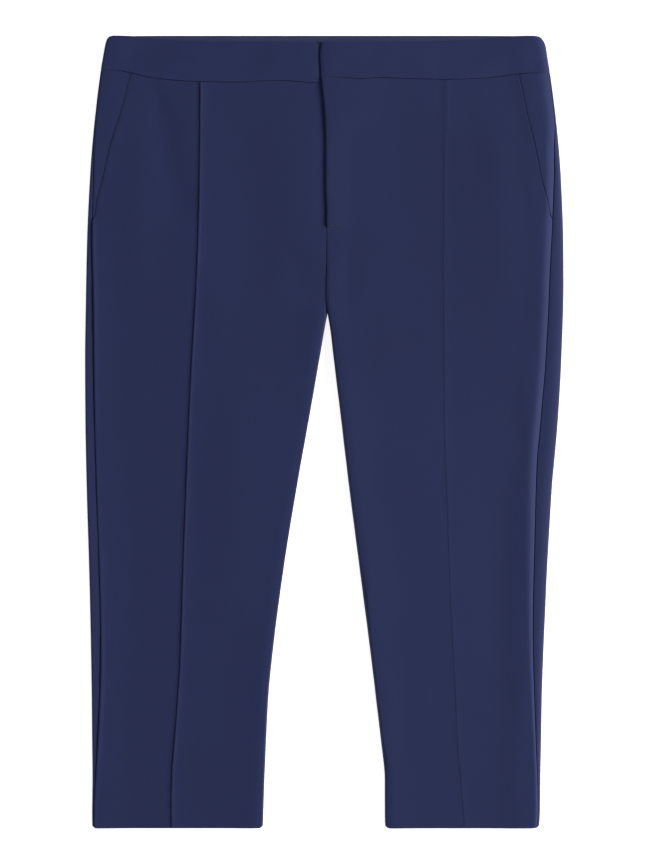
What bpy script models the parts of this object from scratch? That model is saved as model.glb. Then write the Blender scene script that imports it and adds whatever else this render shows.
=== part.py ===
"""Capri pants laid flat on a surface, front up.

The waist points along +Y and the hems along -Y, and +X is the wearer's left.  The back panels lie
on the surface at Z = 0 and come round both outer folds to the side seams on top.  Lengths are in
millimetres: "down" is measured from the top edge of the back waistband towards the hems, "across"
from the middle of the garment towards +X.
"""
import math
from collections import namedtuple

import bmesh
import bpy

MM = 0.001

# ---------------------------------------------------------------- driving sizes
LENGTH = 832.0              # waist to hem
CROTCH = 293.4              # waist to the fork of the legs
CROTCH_ACROSS = 4.0         # the fork lies a little to the wearer's left of the middle
CROTCH_ROLL = 14.0          # length over which the inner folds run out above the fork

CLOTH = 1.2                 # wall of a leg panel
HEM_CLOTH = 1.9             # wall where the hem is turned up
HEM_TURN = 800.0            # where the turned-up hem begins
BAND_CLOTH = 1.8            # wall of the waistband, which is folded double
GAP = 0.3                   # room between two pieces that meet
HIDDEN_GAP = 0.45           # room between two layers that lie on each other
ROUND_GAP = 0.33            # half gap, along the cloth, where two pieces meet on a fold

SEAM_RIDGE = 0.5            # a front stands a little proud beside its side seam
SEAM_RIDGE_WIDTH = 3.0
TUCK_WIDTH = 1.6            # half width of a pin tuck's foot

FLY_UNDER = 4.0             # the right front ends here, under the left one
FLY_FOOT = 199.0            # where the overlap of the fly ends
FLY_FLAT = 204.0            # where the two fronts are level again
FLY_LIFT = 1.9              # how far the left front is lifted by what lies under it
FLY_LIFT_TOP = 2.6          # the same just under the waistband
FLY_TOP = 42.0
FLY_TOP_END = 62.0          # where the one lift has become the other
FLY_FULL = 28.6             # width that is lifted fully
FLY_FADE = 46.0             # width at which the lift has faded out

BAND_LAP = 30.0             # how far the right waistband runs on under the left one
BAND_LIFT = 3.2             # lift of the left waistband over the right one and the hook
BAND_LIFT_FULL = 30.6
BAND_LIFT_FADE = 54.0

MOUTH_END = 188.0           # foot of the pocket mouth
MOUTH_CLOSED = 195.0        # where the front panel is back at the side seam
HIP_TUCK = 18.0             # how far a hip piece runs on under the front panel
HIP_SHORT = 1.2             # room between its foot and the edge of the front panel

ZIP_ACROSS = 16.3
ZIP_START = 52.0
ZIP_END = 192.0
SLIDER_START = 54.0
SLIDER_END = 66.0
ZIP_SINK = 0.6              # the zip's middle lies this far under the front's outer face
TAPE_HALF = 0.4             # half thickness of the zip's tape
CHAIN_HALF = 0.7            # the same of its closed teeth
SLIDER_HALF = 1.1           # the same of its slider

HOOK_DOWN = 26.0
HOOK_ACROSS = 13.0
HOOK_LENGTH = 16.0
HOOK_WIDTH = 9.0
HOOK_THICK = 0.8
HOOK_NOSE_SIDES = 8

SHARP_ANGLE = 50.0          # degrees between faces that keep a hard edge
SETTLE_STEPS = 5            # rounds that place a point on a seam that slants

# ---------------------------------------------------------------- tables
# Cross-section of a flattened tube: how far in its fold reaches full height, that height, the
# height away from the folds, and how fast the one sinks to the other.
Shape = namedtuple("Shape", "roll fold loft fade")

LEG_SHAPE = Shape(4.0, 6.0, 4.8, 24.0)
BAND_SHAPE = Shape(4.5, 6.6, 5.3, 26.0)

# One row for each section of a half.  outer is the outer fold and tuck the line of the pin tuck,
# both measured outwards from the middle.  seam is how far the side seam lies in from the fold.
Section = namedtuple("Section", "down outer seam tuck")

RIGHT_SECTIONS = (
    Section(0.0, 221.5, 0.5, 130.2),
    Section(1.2, 225.8, 0.5, 130.2),
    Section(4.0, 228.2, 0.5, 130.2),
    Section(10.0, 230.0, 0.5, 130.2),
    Section(20.0, 231.8, 0.5, 130.2),
    Section(40.0, 235.0, 0.5, 130.2),
    Section(90.0, 241.0, 0.8, 130.5),
    Section(120.0, 243.8, 2.4, 130.7),
    Section(150.0, 245.9, 4.0, 131.0),
    Section(215.0, 248.9, 5.8, 132.6),
    Section(280.0, 250.2, 8.4, 135.4),
    Section(340.0, 251.0, 9.7, 138.9),
    Section(400.0, 250.7, 10.3, 142.0),
    Section(470.0, 249.4, 10.8, 144.7),
    Section(560.0, 246.7, 11.2, 148.0),
    Section(605.0, 245.6, 11.3, 149.4),
    Section(650.0, 244.7, 10.7, 150.8),
    Section(695.0, 244.0, 9.1, 153.4),
    Section(740.0, 243.6, 6.5, 156.8),
    Section(780.0, 243.2, 3.9, 159.7),
    Section(815.0, 243.6, 2.5, 160.3),
    Section(829.0, 243.4, 2.5, 160.0),
    Section(832.0, 240.8, 2.5, 160.0),
)

LEFT_SECTIONS = (
    Section(0.0, 221.5, 1.2, 126.2),
    Section(1.2, 225.8, 1.2, 126.2),
    Section(4.0, 228.9, 1.2, 126.2),
    Section(10.0, 232.0, 1.2, 126.2),
    Section(20.0, 233.7, 1.2, 126.2),
    Section(40.0, 236.9, 1.2, 126.2),
    Section(90.0, 243.3, 1.6, 125.9),
    Section(120.0, 246.2, 4.4, 125.6),
    Section(150.0, 248.3, 6.7, 125.4),
    Section(215.0, 250.7, 11.7, 125.3),
    Section(260.0, 251.0, 14.3, 125.3),
    Section(340.0, 248.7, 15.9, 125.6),
    Section(400.0, 245.3, 17.4, 126.3),
    Section(435.0, 242.4, 17.8, 127.2),
    Section(470.0, 239.1, 16.3, 128.8),
    Section(515.0, 236.3, 14.7, 130.6),
    Section(560.0, 233.7, 13.3, 133.0),
    Section(605.0, 231.7, 12.2, 135.4),
    Section(650.0, 229.7, 10.0, 137.8),
    Section(695.0, 228.2, 7.2, 139.8),
    Section(740.0, 227.4, 4.8, 141.9),
    Section(780.0, 226.6, 2.3, 145.1),
    Section(815.0, 226.2, 1.2, 148.1),
    Section(829.0, 225.4, 1.2, 148.9),
    Section(832.0, 222.6, 1.2, 148.9),
)

# Inner folds of the legs from the fork down, each measured outwards from the middle.
Inseam = namedtuple("Inseam", "down right left")

INSEAMS = (
    Inseam(293.4, -3.85, 4.15),
    Inseam(300.0, -2.4, 5.4),
    Inseam(312.0, -0.3, 7.2),
    Inseam(340.0, 4.5, 10.4),
    Inseam(400.0, 15.0, 17.7),
    Inseam(470.0, 27.5, 26.0),
    Inseam(560.0, 42.1, 37.6),
    Inseam(650.0, 53.8, 49.2),
    Inseam(695.0, 58.1, 54.6),
    Inseam(740.0, 60.4, 59.9),
    Inseam(780.0, 62.1, 63.9),
    Inseam(815.0, 63.3, 64.0),
    Inseam(829.0, 63.8, 64.4),
    Inseam(832.0, 66.4, 67.2),
)

# The edge of the fly, and below its foot the centre front seam.
Edge = namedtuple("Edge", "down across")

FLY_EDGE = (
    Edge(7.0, -2.8),
    Edge(19.0, -4.6),
    Edge(42.0, -3.0),
    Edge(80.0, 0.9),
    Edge(110.0, 1.9),
    Edge(150.0, 1.4),
    Edge(190.0, 2.4),
    Edge(225.0, 2.8),
    Edge(242.0, 3.7),
    Edge(264.0, 2.2),
    Edge(293.4, 4.0),
)

# How far in from the outer fold each pocket mouth lies.
Mouth = namedtuple("Mouth", "down right left")

MOUTHS = (
    Mouth(36.0, 33.4, 30.8),
    Mouth(75.0, 28.0, 28.4),
    Mouth(101.0, 23.5, 24.9),
    Mouth(121.0, 19.2, 21.8),
    Mouth(150.0, 14.0, 18.4),
    Mouth(172.0, 9.6, 13.4),
    Mouth(195.0, 7.4, 11.2),
)

# Seams under the waistband, and the top edge of its front pieces.
Line = namedtuple("Line", "across down")

RIGHT_BAND_SEAM = (
    Line(-236.0, 37.0),
    Line(-222.0, 36.8),
    Line(-201.0, 39.6),
    Line(-185.0, 43.6),
    Line(-166.0, 46.6),
    Line(-138.0, 48.4),
    Line(-96.0, 48.6),
    Line(-50.0, 47.6),
    Line(-4.0, 49.2),
    Line(36.0, 49.2),
)

LEFT_BAND_SEAM = (
    Line(-5.0, 42.4),
    Line(22.0, 44.0),
    Line(55.0, 42.0),
    Line(78.0, 43.2),
    Line(108.0, 46.2),
    Line(134.0, 45.8),
    Line(182.0, 42.6),
    Line(206.0, 39.8),
    Line(238.0, 38.0),
)

BACK_BAND_SEAM = (
    Line(-236.0, 37.0),
    Line(-120.0, 42.0),
    Line(0.0, 43.5),
    Line(120.0, 42.0),
    Line(238.0, 38.0),
)

BACK_BAND_TOP = (
    Line(-226.0, 0.0),
    Line(226.0, 0.0),
)

FRONT_BAND_TOP = (
    Line(-226.0, 0.3),
    Line(-205.0, 0.7),
    Line(-184.0, 2.0),
    Line(-165.0, 4.2),
    Line(-100.0, 6.6),
    Line(0.0, 7.0),
    Line(100.0, 6.6),
    Line(165.0, 4.2),
    Line(184.0, 2.0),
    Line(205.0, 0.7),
    Line(226.0, 0.3),
)

# Largest folds of the fronts.  Each runs straight between two places and is a soft ridge, or a
# trough where its height is negative.
Fold = namedtuple("Fold", "across down to_across to_down half_width height")

FRONT_FOLDS = (
    Fold(-178.0, 50.0, -143.0, 215.0, 17.0, -0.8),
    Fold(-202.0, 70.0, -196.0, 300.0, 20.0, 0.5),
    Fold(-75.0, 70.0, -55.0, 240.0, 34.0, -0.6),
    Fold(-70.0, 360.0, -102.0, 620.0, 30.0, 0.6),
    Fold(-200.0, 380.0, -196.0, 720.0, 22.0, -0.4),
    Fold(60.0, 250.0, 86.0, 560.0, 38.0, 0.7),
    Fold(92.0, 70.0, 60.0, 210.0, 30.0, -0.5),
    Fold(180.0, 60.0, 196.0, 300.0, 26.0, 0.5),
    Fold(176.0, 420.0, 186.0, 760.0, 24.0, -0.4),
)

# Rows of the panels below the row that follows the waistband seam.
FRONT_ROWS = (
    62.0, 80.0, 105.0, 130.0, 155.0, 175.0, MOUTH_END, MOUTH_CLOSED, FLY_FOOT, FLY_FLAT, 225.0,
    250.0, 270.0, 281.0, 288.0, CROTCH, 300.0, 312.0, 335.0, 370.0, 410.0, 450.0, 500.0, 550.0,
    600.0, 650.0, 700.0, 745.0, 780.0, HEM_TURN - 1.5, HEM_TURN + 1.5, 822.0, 829.0, LENGTH,
)
BACK_ROWS = tuple(row for row in FRONT_ROWS if row not in (MOUTH_END, FLY_FOOT, FLY_FLAT))
HIP_ROWS = tuple(row for row in FRONT_ROWS if row < MOUTH_END)
BAND_ROWS = (0.0, 0.04, 0.12, 0.3, 0.6, 0.88, 1.0)      # shares from the top edge to the seam
TURNS = (0.36, 0.68, 1.0)                               # columns of a rolled edge


# ---------------------------------------------------------------- small helpers
def smooth(value):
    """Ease from 0 to 1 as the value goes from 0 to 1."""
    value = min(max(value, 0.0), 1.0)
    return value * value * (3.0 - 2.0 * value)


def mix(start, end, share):
    return start + (end - start) * share


def slope_at(places, values, index):
    """Slope of a smooth line through the points that never swings past them."""
    if index in (0, len(places) - 1):
        near = 1 if index == 0 else index - 1
        return (values[near] - values[index]) / (places[near] - places[index])
    before = (values[index] - values[index - 1]) / (places[index] - places[index - 1])
    after = (values[index + 1] - values[index]) / (places[index + 1] - places[index])
    if before * after <= 0.0:
        return 0.0
    return 2.0 * before * after / (before + after)


def read(table, key, column, place):
    """Read a column of a table on a smooth line, at any place of its key column."""
    places = [getattr(row, key) for row in table]
    values = [getattr(row, column) for row in table]
    place = min(max(place, places[0]), places[-1])
    index = 0
    while index < len(places) - 2 and place > places[index + 1]:
        index += 1
    span = places[index + 1] - places[index]
    share = (place - places[index]) / span
    value = mix(values[index], values[index + 1], smooth(share))
    value += slope_at(places, values, index) * span * share * (1.0 - share) ** 2
    value -= slope_at(places, values, index + 1) * span * share ** 2 * (1.0 - share)
    return value


def rolled(path, depth, radius):
    """Follow a rolled edge from its outermost line.

    path is the distance along the cloth and depth how far under its outer face the point lies.
    Returns the distance in from the outermost line and the share of the full height reached.
    """
    quarter = radius * math.pi / 2.0
    turn = min(max(path, 0.0), quarter) / radius
    inward = depth + (radius - depth) * (1.0 - math.cos(turn)) + max(path - quarter, 0.0)
    return inward, math.sin(turn)


def path_to(inward, radius):
    """Distance along the cloth to the line this far in from the outermost line."""
    if inward < radius:
        return radius * math.acos(1.0 - inward / radius)
    return inward + radius * (math.pi / 2.0 - 1.0)


def fold_height(across, down):
    """Sum of the soft folds at a place on the fronts."""
    total = 0.0
    for fold in FRONT_FOLDS:
        run_across = fold.to_across - fold.across
        run_down = fold.to_down - fold.down
        length = math.hypot(run_across, run_down)
        off_across = across - fold.across
        off_down = down - fold.down
        along = (off_across * run_across + off_down * run_down) / length ** 2
        beside = (off_across * run_down - off_down * run_across) / length
        ends = smooth(along / 0.3) * smooth((1.0 - along) / 0.3)
        total += fold.height * ends * math.exp(-(beside / fold.half_width) ** 2)
    return total


# ---------------------------------------------------------------- the two halves
Half = namedtuple("Half", "name sign sections band_seam tuck_height")

RIGHT = Half("right", -1, RIGHT_SECTIONS, RIGHT_BAND_SEAM, 1.3)
LEFT = Half("left", 1, LEFT_SECTIONS, LEFT_BAND_SEAM, 0.6)


def outer_at(half, down):
    return read(half.sections, "down", "outer", down)


def fly_across(down):
    return read(FLY_EDGE, "down", "across", down)


def inner_roll(down):
    """How far the inner folds are rolled: 0 above the fork, 1 from the fork down."""
    return smooth((down - CROTCH + CROTCH_ROLL) / CROTCH_ROLL)


def front_inner(half, down):
    """Inner edge of a front panel, measured outwards from the middle."""
    if down >= CROTCH:
        return read(INSEAMS, "down", half.name, down)
    if half is RIGHT and down < FLY_FOOT:
        return -FLY_UNDER
    return half.sign * fly_across(down) + GAP / 2.0


def back_inner(half, down):
    """Inner edge of a back panel, measured outwards from the middle."""
    if down >= CROTCH:
        return read(INSEAMS, "down", half.name, down)
    return half.sign * CROTCH_ACROSS * smooth(down / CROTCH) + GAP / 2.0


def seam_path(half, down):
    """Side seam, measured along the cloth from the outer fold."""
    return path_to(read(half.sections, "down", "seam", down), LEG_SHAPE.roll)


def mouth_path(half, down):
    """Pocket mouth, measured along the cloth from the outer fold."""
    return path_to(read(MOUTHS, "down", half.name, down), LEG_SHAPE.roll)


def tuck_path(half, down):
    width = outer_at(half, down) - read(half.sections, "down", "tuck", down)
    return path_to(width, LEG_SHAPE.roll)


# ---------------------------------------------------------------- heights
def fly_lift(half, across, down):
    """How far the left front is lifted over the right one and the zip."""
    if half is RIGHT:
        return 0.0
    lift = mix(FLY_LIFT_TOP, FLY_LIFT, smooth((down - FLY_TOP) / (FLY_TOP_END - FLY_TOP)))
    run_out = 1.0 - smooth((down - FLY_FOOT) / (FLY_FLAT - FLY_FOOT))
    return lift * run_out * (1.0 - smooth((across - FLY_FULL) / (FLY_FADE - FLY_FULL)))


def band_lift(half, across):
    """How far the left waistband is lifted over the right one and the hook."""
    if half is RIGHT:
        return 0.0
    share = (across - BAND_LIFT_FULL) / (BAND_LIFT_FADE - BAND_LIFT_FULL)
    return BAND_LIFT * (1.0 - smooth(share))


def side_rise(shape, distance):
    """How much higher than its loft a layer lies this far in from a fold."""
    return (shape.fold - shape.loft) * math.exp(-(distance / shape.fade) ** 2)


def front_level(across, down, from_outer, from_inner):
    """Height of a front's outer face, without its rolled edges, its tuck and the fly."""
    level = LEG_SHAPE.loft + side_rise(LEG_SHAPE, from_outer)
    level += inner_roll(down) * side_rise(LEG_SHAPE, from_inner)
    calm = smooth((from_outer - 6.0) / 24.0) * smooth((from_inner - 2.0) / 26.0)
    calm *= smooth((LENGTH - down) / 40.0)
    return level + calm * fold_height(across, down)


# ---------------------------------------------------------------- layers
# A layer takes a path along the cloth from the "outer" or the "inner" edge, a place down and a
# depth under the outer face, and returns (across, height).
def from_outer_fold(half, shape, path, down, depth):
    inward, lift = rolled(path, depth, shape.roll)
    return half.sign * (outer_at(half, down) - inward), lift


def from_inner_edge(half, path, down, depth, inner):
    """An inner edge is rolled from the fork down and flat above it."""
    inward, lift = rolled(path, depth, LEG_SHAPE.roll)
    quarter = LEG_SHAPE.roll * math.pi / 2.0
    flat = path / quarter * LEG_SHAPE.roll if path < quarter else inward
    amount = inner_roll(down)
    return half.sign * (inner + mix(flat, inward, amount)), mix(1.0, lift, amount)


def front_layer(half, side, path, down, depth):
    inner = front_inner(half, down)
    if side == "outer":
        across, lift = from_outer_fold(half, LEG_SHAPE, path, down, depth)
    else:
        across, lift = from_inner_edge(half, path, down, depth, inner)
    from_outer = outer_at(half, down) - half.sign * across
    level = front_level(across, down, from_outer, half.sign * across - inner)
    middle = LEG_SHAPE.fold / 2.0
    return across, middle + (level - depth - middle) * lift + fly_lift(half, across, down)


def back_layer(half, side, path, down, depth):
    if side == "outer":
        across, lift = from_outer_fold(half, LEG_SHAPE, path, down, depth)
    else:
        across, lift = from_inner_edge(half, path, down, depth, back_inner(half, down))
    middle = LEG_SHAPE.fold / 2.0
    return across, middle - (middle - depth) * lift


def hip_layer(half, side, path, down, depth):
    """Level with the back at the side seam, and under the front from the pocket mouth on."""
    across, height = front_layer(half, side, path, down, depth)
    start = seam_path(half, down)
    under = mouth_path(half, down) - 2.0 * GAP
    sunk = (CLOTH + HIDDEN_GAP) * smooth((path - start) / (under - start))
    return across, height - sunk * rolled(path, depth, LEG_SHAPE.roll)[1]


def front_band_layer(half, side, path, down, depth):
    if side == "outer":
        across, lift = from_outer_fold(half, BAND_SHAPE, path, down, depth)
    else:
        inner = -BAND_LAP if half is RIGHT else fly_across(down)
        across, lift = half.sign * (inner + path), 1.0
    rise = side_rise(BAND_SHAPE, outer_at(half, down) - half.sign * across)
    middle = BAND_SHAPE.fold / 2.0
    height = middle + (BAND_SHAPE.loft + rise - depth - middle) * lift
    return across, height + band_lift(half, across)


def back_band_layer(half, side, path, down, depth):
    across, lift = from_outer_fold(half, BAND_SHAPE, path, down, depth)
    middle = BAND_SHAPE.fold / 2.0
    return across, middle - (middle - depth) * lift


# ---------------------------------------------------------------- columns and rows
# A column runs down a piece along a path that is a function of the place down, and stands proud
# of its outer face by raised.  A row is a function of a column and its place across.
Column = namedtuple("Column", "half layer side path raised", defaults=(0.0,))


def straight_row(down):
    return lambda column, across: down


def seam_row(table, offset):
    return lambda column, across: read(table, "across", "down", across) + offset


def band_row(top, seam, share):
    def down_at(column, across):
        start = read(top, "across", "down", across)
        end = read(seam, "across", "down", across) - GAP / 2.0
        return mix(start, end, share)
    return down_at


def panel_wall(down):
    return HEM_CLOTH if down > HEM_TURN else CLOTH


def face_points(columns, rows, depth_at):
    """Grid of (across, down, height) for one face of a piece."""
    face = []
    for row in rows:
        points = []
        for column in columns:
            down = CROTCH
            for _ in range(SETTLE_STEPS):
                path = column.path(down)
                across = column.layer(column.half, column.side, path, down, 0.0)[0]
                down = row(column, across)
            depth = depth_at(down)
            path = column.path(down)
            across, height = column.layer(column.half, column.side, path, down, depth)
            if depth == 0.0:
                height += column.raised
            points.append((across, down, height))
        face.append(points)
    return face


# ---------------------------------------------------------------- making solids
def finish(name, mesh, material):
    """Turn a closed mesh into a named object whose faces point out."""
    bmesh.ops.recalc_face_normals(mesh, faces=mesh.faces)
    data = bpy.data.meshes.new(name)
    mesh.to_mesh(data)
    mesh.free()
    data.materials.append(material)
    data.shade_smooth()
    data.set_sharp_from_angle(angle=math.radians(SHARP_ANGLE))
    solid = bpy.data.objects.new(name, data)
    bpy.context.scene.collection.objects.link(solid)
    return solid


def solid_between(name, outer, inner, material):
    """Close two matching grids of points into one solid."""
    mesh = bmesh.new()
    skins = []
    for face in (outer, inner):
        skins.append([[mesh.verts.new((across * MM, (LENGTH / 2.0 - down) * MM, height * MM))
                       for across, down, height in row] for row in face])
    rows = len(outer)
    columns = len(outer[0])
    for skin in skins:
        for row in range(rows - 1):
            for column in range(columns - 1):
                mesh.faces.new((skin[row][column], skin[row][column + 1],
                                skin[row + 1][column + 1], skin[row + 1][column]))
    rim = [(0, column) for column in range(columns)]
    rim += [(row, columns - 1) for row in range(1, rows)]
    rim += [(rows - 1, column) for column in range(columns - 2, -1, -1)]
    rim += [(row, 0) for row in range(rows - 2, 0, -1)]
    for (row, column), (next_row, next_column) in zip(rim, rim[1:] + rim[:1]):
        mesh.faces.new((skins[0][row][column], skins[0][next_row][next_column],
                        skins[1][next_row][next_column], skins[1][row][column]))
    return finish(name, mesh, material)


def solid_piece(name, columns, rows, wall, material):
    outer = face_points(columns, rows, lambda down: 0.0)
    inner = face_points(columns, rows, wall)
    return solid_between(name, outer, inner, material)


def make_material(name, colour, roughness, metallic=0.0):
    material = bpy.data.materials.new(name)
    material.use_nodes = True
    shader = material.node_tree.nodes["Principled BSDF"]
    shader.inputs["Base Color"].default_value = (*colour, 1.0)
    shader.inputs["Roughness"].default_value = roughness
    shader.inputs["Metallic"].default_value = metallic
    return material


# ---------------------------------------------------------------- leg panels
def inner_turns(half, layer):
    """Columns round an inner fold, from the flat of the panel to the inseam."""
    quarter = LEG_SHAPE.roll * math.pi / 2.0
    columns = []
    for turn in reversed(TURNS):
        columns.append(Column(half, layer, "inner", lambda down, turn=turn: turn * quarter))
    columns.append(Column(half, layer, "inner", lambda down: ROUND_GAP * inner_roll(down)))
    return columns


def front_span(half, down):
    """Path from the outer fold to where the inner fold begins to roll."""
    return path_to(outer_at(half, down) - front_inner(half, down), LEG_SHAPE.roll) - LEG_SHAPE.roll


def front_columns(half):
    def edge(down):
        start = mouth_path(half, down) if down < MOUTH_CLOSED else seam_path(half, down)
        return start + GAP * 0.6

    def before_tuck(share):
        return lambda down: mix(edge(down), tuck_path(half, down) - TUCK_WIDTH, share)

    def after_tuck(share):
        return lambda down: mix(tuck_path(half, down) + TUCK_WIDTH, front_span(half, down), share)

    ridge = Column(half, front_layer, "outer", lambda down: edge(down) + SEAM_RIDGE_WIDTH,
                   SEAM_RIDGE)
    tuck = Column(half, front_layer, "outer", lambda down: tuck_path(half, down),
                  half.tuck_height)
    columns = [Column(half, front_layer, "outer", edge), ridge]
    for share in (0.12, 0.34, 0.56, 0.78, 1.0):
        columns.append(Column(half, front_layer, "outer", before_tuck(share)))
    columns.append(tuck)
    for share in (0.0, 0.17, 0.34, 0.51, 0.68, 0.82, 0.94):
        columns.append(Column(half, front_layer, "outer", after_tuck(share)))
    return columns + inner_turns(half, front_layer)


def make_front(half, material):
    rows = [seam_row(half.band_seam, GAP / 2.0)] + [straight_row(down) for down in FRONT_ROWS]
    name = f"front_{half.name}_leg"
    return solid_piece(name, front_columns(half), rows, panel_wall, material)


def back_columns(half):
    """From the side seam on top, round the outer fold and along the surface to the inseam."""
    quarter = LEG_SHAPE.roll * math.pi / 2.0

    def wrapped(share):
        def path(down):
            end = seam_path(half, down) - GAP * 0.6
            turn = min(quarter, end * 0.7)
            if share <= 1.0:
                return turn * share
            return mix(turn, end, share - 1.0)
        return path

    columns = []
    for share in (2.0, 1.5, 1.0, 0.68, 0.36):
        columns.append(Column(half, front_layer, "outer", wrapped(share)))
    for turn in (0.0,) + TURNS:
        columns.append(Column(half, back_layer, "outer", lambda down, turn=turn: turn * quarter))
    for share in (0.3, 0.65, 0.95):
        flat = lambda down, share=share: mix(quarter, back_span(half, down), share)
        columns.append(Column(half, back_layer, "outer", flat))
    return columns + inner_turns(half, back_layer)


def back_span(half, down):
    return path_to(outer_at(half, down) - back_inner(half, down), LEG_SHAPE.roll) - LEG_SHAPE.roll


def back_seam_row(half):
    """The top row of a back follows the front waistband on top and the back one below."""
    def down_at(column, across):
        table = half.band_seam if column.layer is front_layer else BACK_BAND_SEAM
        return read(table, "across", "down", across) + GAP / 2.0
    return down_at


def make_back(half, material):
    rows = [back_seam_row(half)] + [straight_row(down) for down in BACK_ROWS]
    return solid_piece(f"back_{half.name}_leg", back_columns(half), rows, panel_wall, material)


# ---------------------------------------------------------------- hip pieces
def hip_foot_row(half):
    """The foot of a hip piece runs beside the edge of the front panel."""
    def down_at(column, across):
        start = seam_path(half, MOUTH_END)
        end = mouth_path(half, MOUTH_END)
        share = min(max((column.path(MOUTH_END) - start) / (end - start), 0.0), 1.0)
        return mix(MOUTH_CLOSED, MOUTH_END, share) - HIP_SHORT
    return down_at


def make_hip(half, material):
    def between(share):
        return lambda down: mix(seam_path(half, down), mouth_path(half, down) - 2.0 * GAP, share)

    paths = [lambda down: seam_path(half, down) + GAP * 0.6, between(0.35), between(0.7),
             between(1.0)]
    for tuck in (0.4, 1.0):
        paths.append(lambda down, tuck=tuck: mouth_path(half, down) + HIP_TUCK * tuck)
    columns = [Column(half, hip_layer, "outer", path) for path in paths]
    rows = [seam_row(half.band_seam, GAP / 2.0)] + [straight_row(down) for down in HIP_ROWS]
    rows.append(hip_foot_row(half))
    return solid_piece(f"hip_piece_{half.name}", columns, rows, lambda down: CLOTH, material)


# ---------------------------------------------------------------- waistband
def band_turns(half, layer):
    """Columns round a fold of the waistband, from the fold inwards."""
    quarter = BAND_SHAPE.roll * math.pi / 2.0
    columns = [Column(half, layer, "outer", lambda down: ROUND_GAP)]
    for turn in TURNS:
        columns.append(Column(half, layer, "outer", lambda down, turn=turn: turn * quarter))
    return columns


def make_front_band(half, material):
    quarter = BAND_SHAPE.roll * math.pi / 2.0
    inner = -BAND_LAP if half is RIGHT else 0.0

    def flat(share):
        return lambda down: mix(quarter, outer_at(half, down) - inner - BAND_SHAPE.roll, share)

    columns = band_turns(half, front_band_layer)
    for share in (0.04, 0.1, 0.17, 0.25, 0.34, 0.44, 0.54, 0.64, 0.74, 0.83, 0.9, 0.96):
        columns.append(Column(half, front_band_layer, "outer", flat(share)))
    columns.append(Column(half, front_band_layer, "inner", lambda down: 0.0))
    rows = [band_row(FRONT_BAND_TOP, half.band_seam, share) for share in BAND_ROWS]
    name = f"waistband_front_{half.name}"
    return solid_piece(name, columns, rows, lambda down: BAND_CLOTH, material)


def make_back_band(material):
    quarter = BAND_SHAPE.roll * math.pi / 2.0

    def flat(half, share):
        return lambda down: mix(quarter, outer_at(half, down), share)

    sides = []
    for half in (RIGHT, LEFT):
        columns = band_turns(half, back_band_layer)
        for share in (0.12, 0.3, 0.5, 0.75):
            columns.append(Column(half, back_band_layer, "outer", flat(half, share)))
        sides.append(columns)
    columns = sides[0] + sides[1][::-1]
    rows = [band_row(BACK_BAND_TOP, BACK_BAND_SEAM, share) for share in BAND_ROWS]
    return solid_piece("waistband_back", columns, rows, lambda down: BAND_CLOTH, material)


# ---------------------------------------------------------------- zip and hook
def make_zip(material):
    """Closed zip that lies beside the right front's edge, under the left front."""
    profile = ((-12.0, TAPE_HALF), (-4.6, TAPE_HALF), (-2.8, CHAIN_HALF), (2.8, CHAIN_HALF),
               (4.6, TAPE_HALF), (12.0, TAPE_HALF))
    stops = (ZIP_START, SLIDER_START, SLIDER_START + 1.0, SLIDER_END - 1.0, SLIDER_END, 90.0,
             120.0, 150.0, 175.0, ZIP_END)
    faces = []
    for side in (1.0, -1.0):
        face = []
        for down in stops:
            row = []
            for offset, half_thick in profile:
                if SLIDER_START < down < SLIDER_END and abs(offset) < 4.5:
                    half_thick = SLIDER_HALF
                across = ZIP_ACROSS + offset
                outer = outer_at(LEFT, down) - across
                middle = front_level(across, down, outer, across - fly_across(down)) - ZIP_SINK
                row.append((across, down, middle + side * half_thick))
            face.append(row)
        faces.append(face)
    return solid_between("fly_zip", faces[0], faces[1], material)


def make_hook(material):
    """Flat waist hook on its bar, with a round nose, lying in the overlap of the waistband."""
    radius = HOOK_WIDTH / 2.0
    nose = HOOK_ACROSS - HOOK_LENGTH / 2.0 + radius
    outline = [(HOOK_ACROSS + HOOK_LENGTH / 2.0, HOOK_DOWN - radius),
               (HOOK_ACROSS + HOOK_LENGTH / 2.0, HOOK_DOWN + radius)]
    for index in range(HOOK_NOSE_SIDES + 1):
        angle = math.pi * (0.5 + index / HOOK_NOSE_SIDES)
        outline.append((nose + radius * math.cos(angle), HOOK_DOWN + radius * math.sin(angle)))
    mesh = bmesh.new()
    bottom = BAND_SHAPE.loft + GAP
    rings = []
    for height in (bottom, bottom + HOOK_THICK):
        rings.append([mesh.verts.new((across * MM, (LENGTH / 2.0 - down) * MM, height * MM))
                      for across, down in outline])
        mesh.faces.new(rings[-1])
    for index in range(len(outline)):
        after = (index + 1) % len(outline)
        mesh.faces.new((rings[0][index], rings[0][after], rings[1][after], rings[1][index]))
    return finish("waist_hook", mesh, material)


def main():
    for item in list(bpy.data.objects):
        bpy.data.objects.remove(item)
    front_cloth = make_material("front_cloth", (0.026, 0.033, 0.088), 0.85)
    back_cloth = make_material("back_cloth", (0.024, 0.031, 0.083), 0.85)
    hip_cloth = make_material("hip_cloth", (0.025, 0.032, 0.086), 0.85)
    band_cloth = make_material("waistband_cloth", (0.027, 0.034, 0.090), 0.85)
    zip_tape = make_material("zip_tape", (0.020, 0.024, 0.060), 0.7)
    steel = make_material("hook_steel", (0.45, 0.45, 0.46), 0.35, 1.0)
    for half in (RIGHT, LEFT):
        make_front(half, front_cloth)
        make_back(half, back_cloth)
        make_hip(half, hip_cloth)
        make_front_band(half, band_cloth)
    make_back_band(band_cloth)
    make_zip(zip_tape)
    make_hook(steel)


main()
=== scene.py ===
import math
from functools import partial

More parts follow.
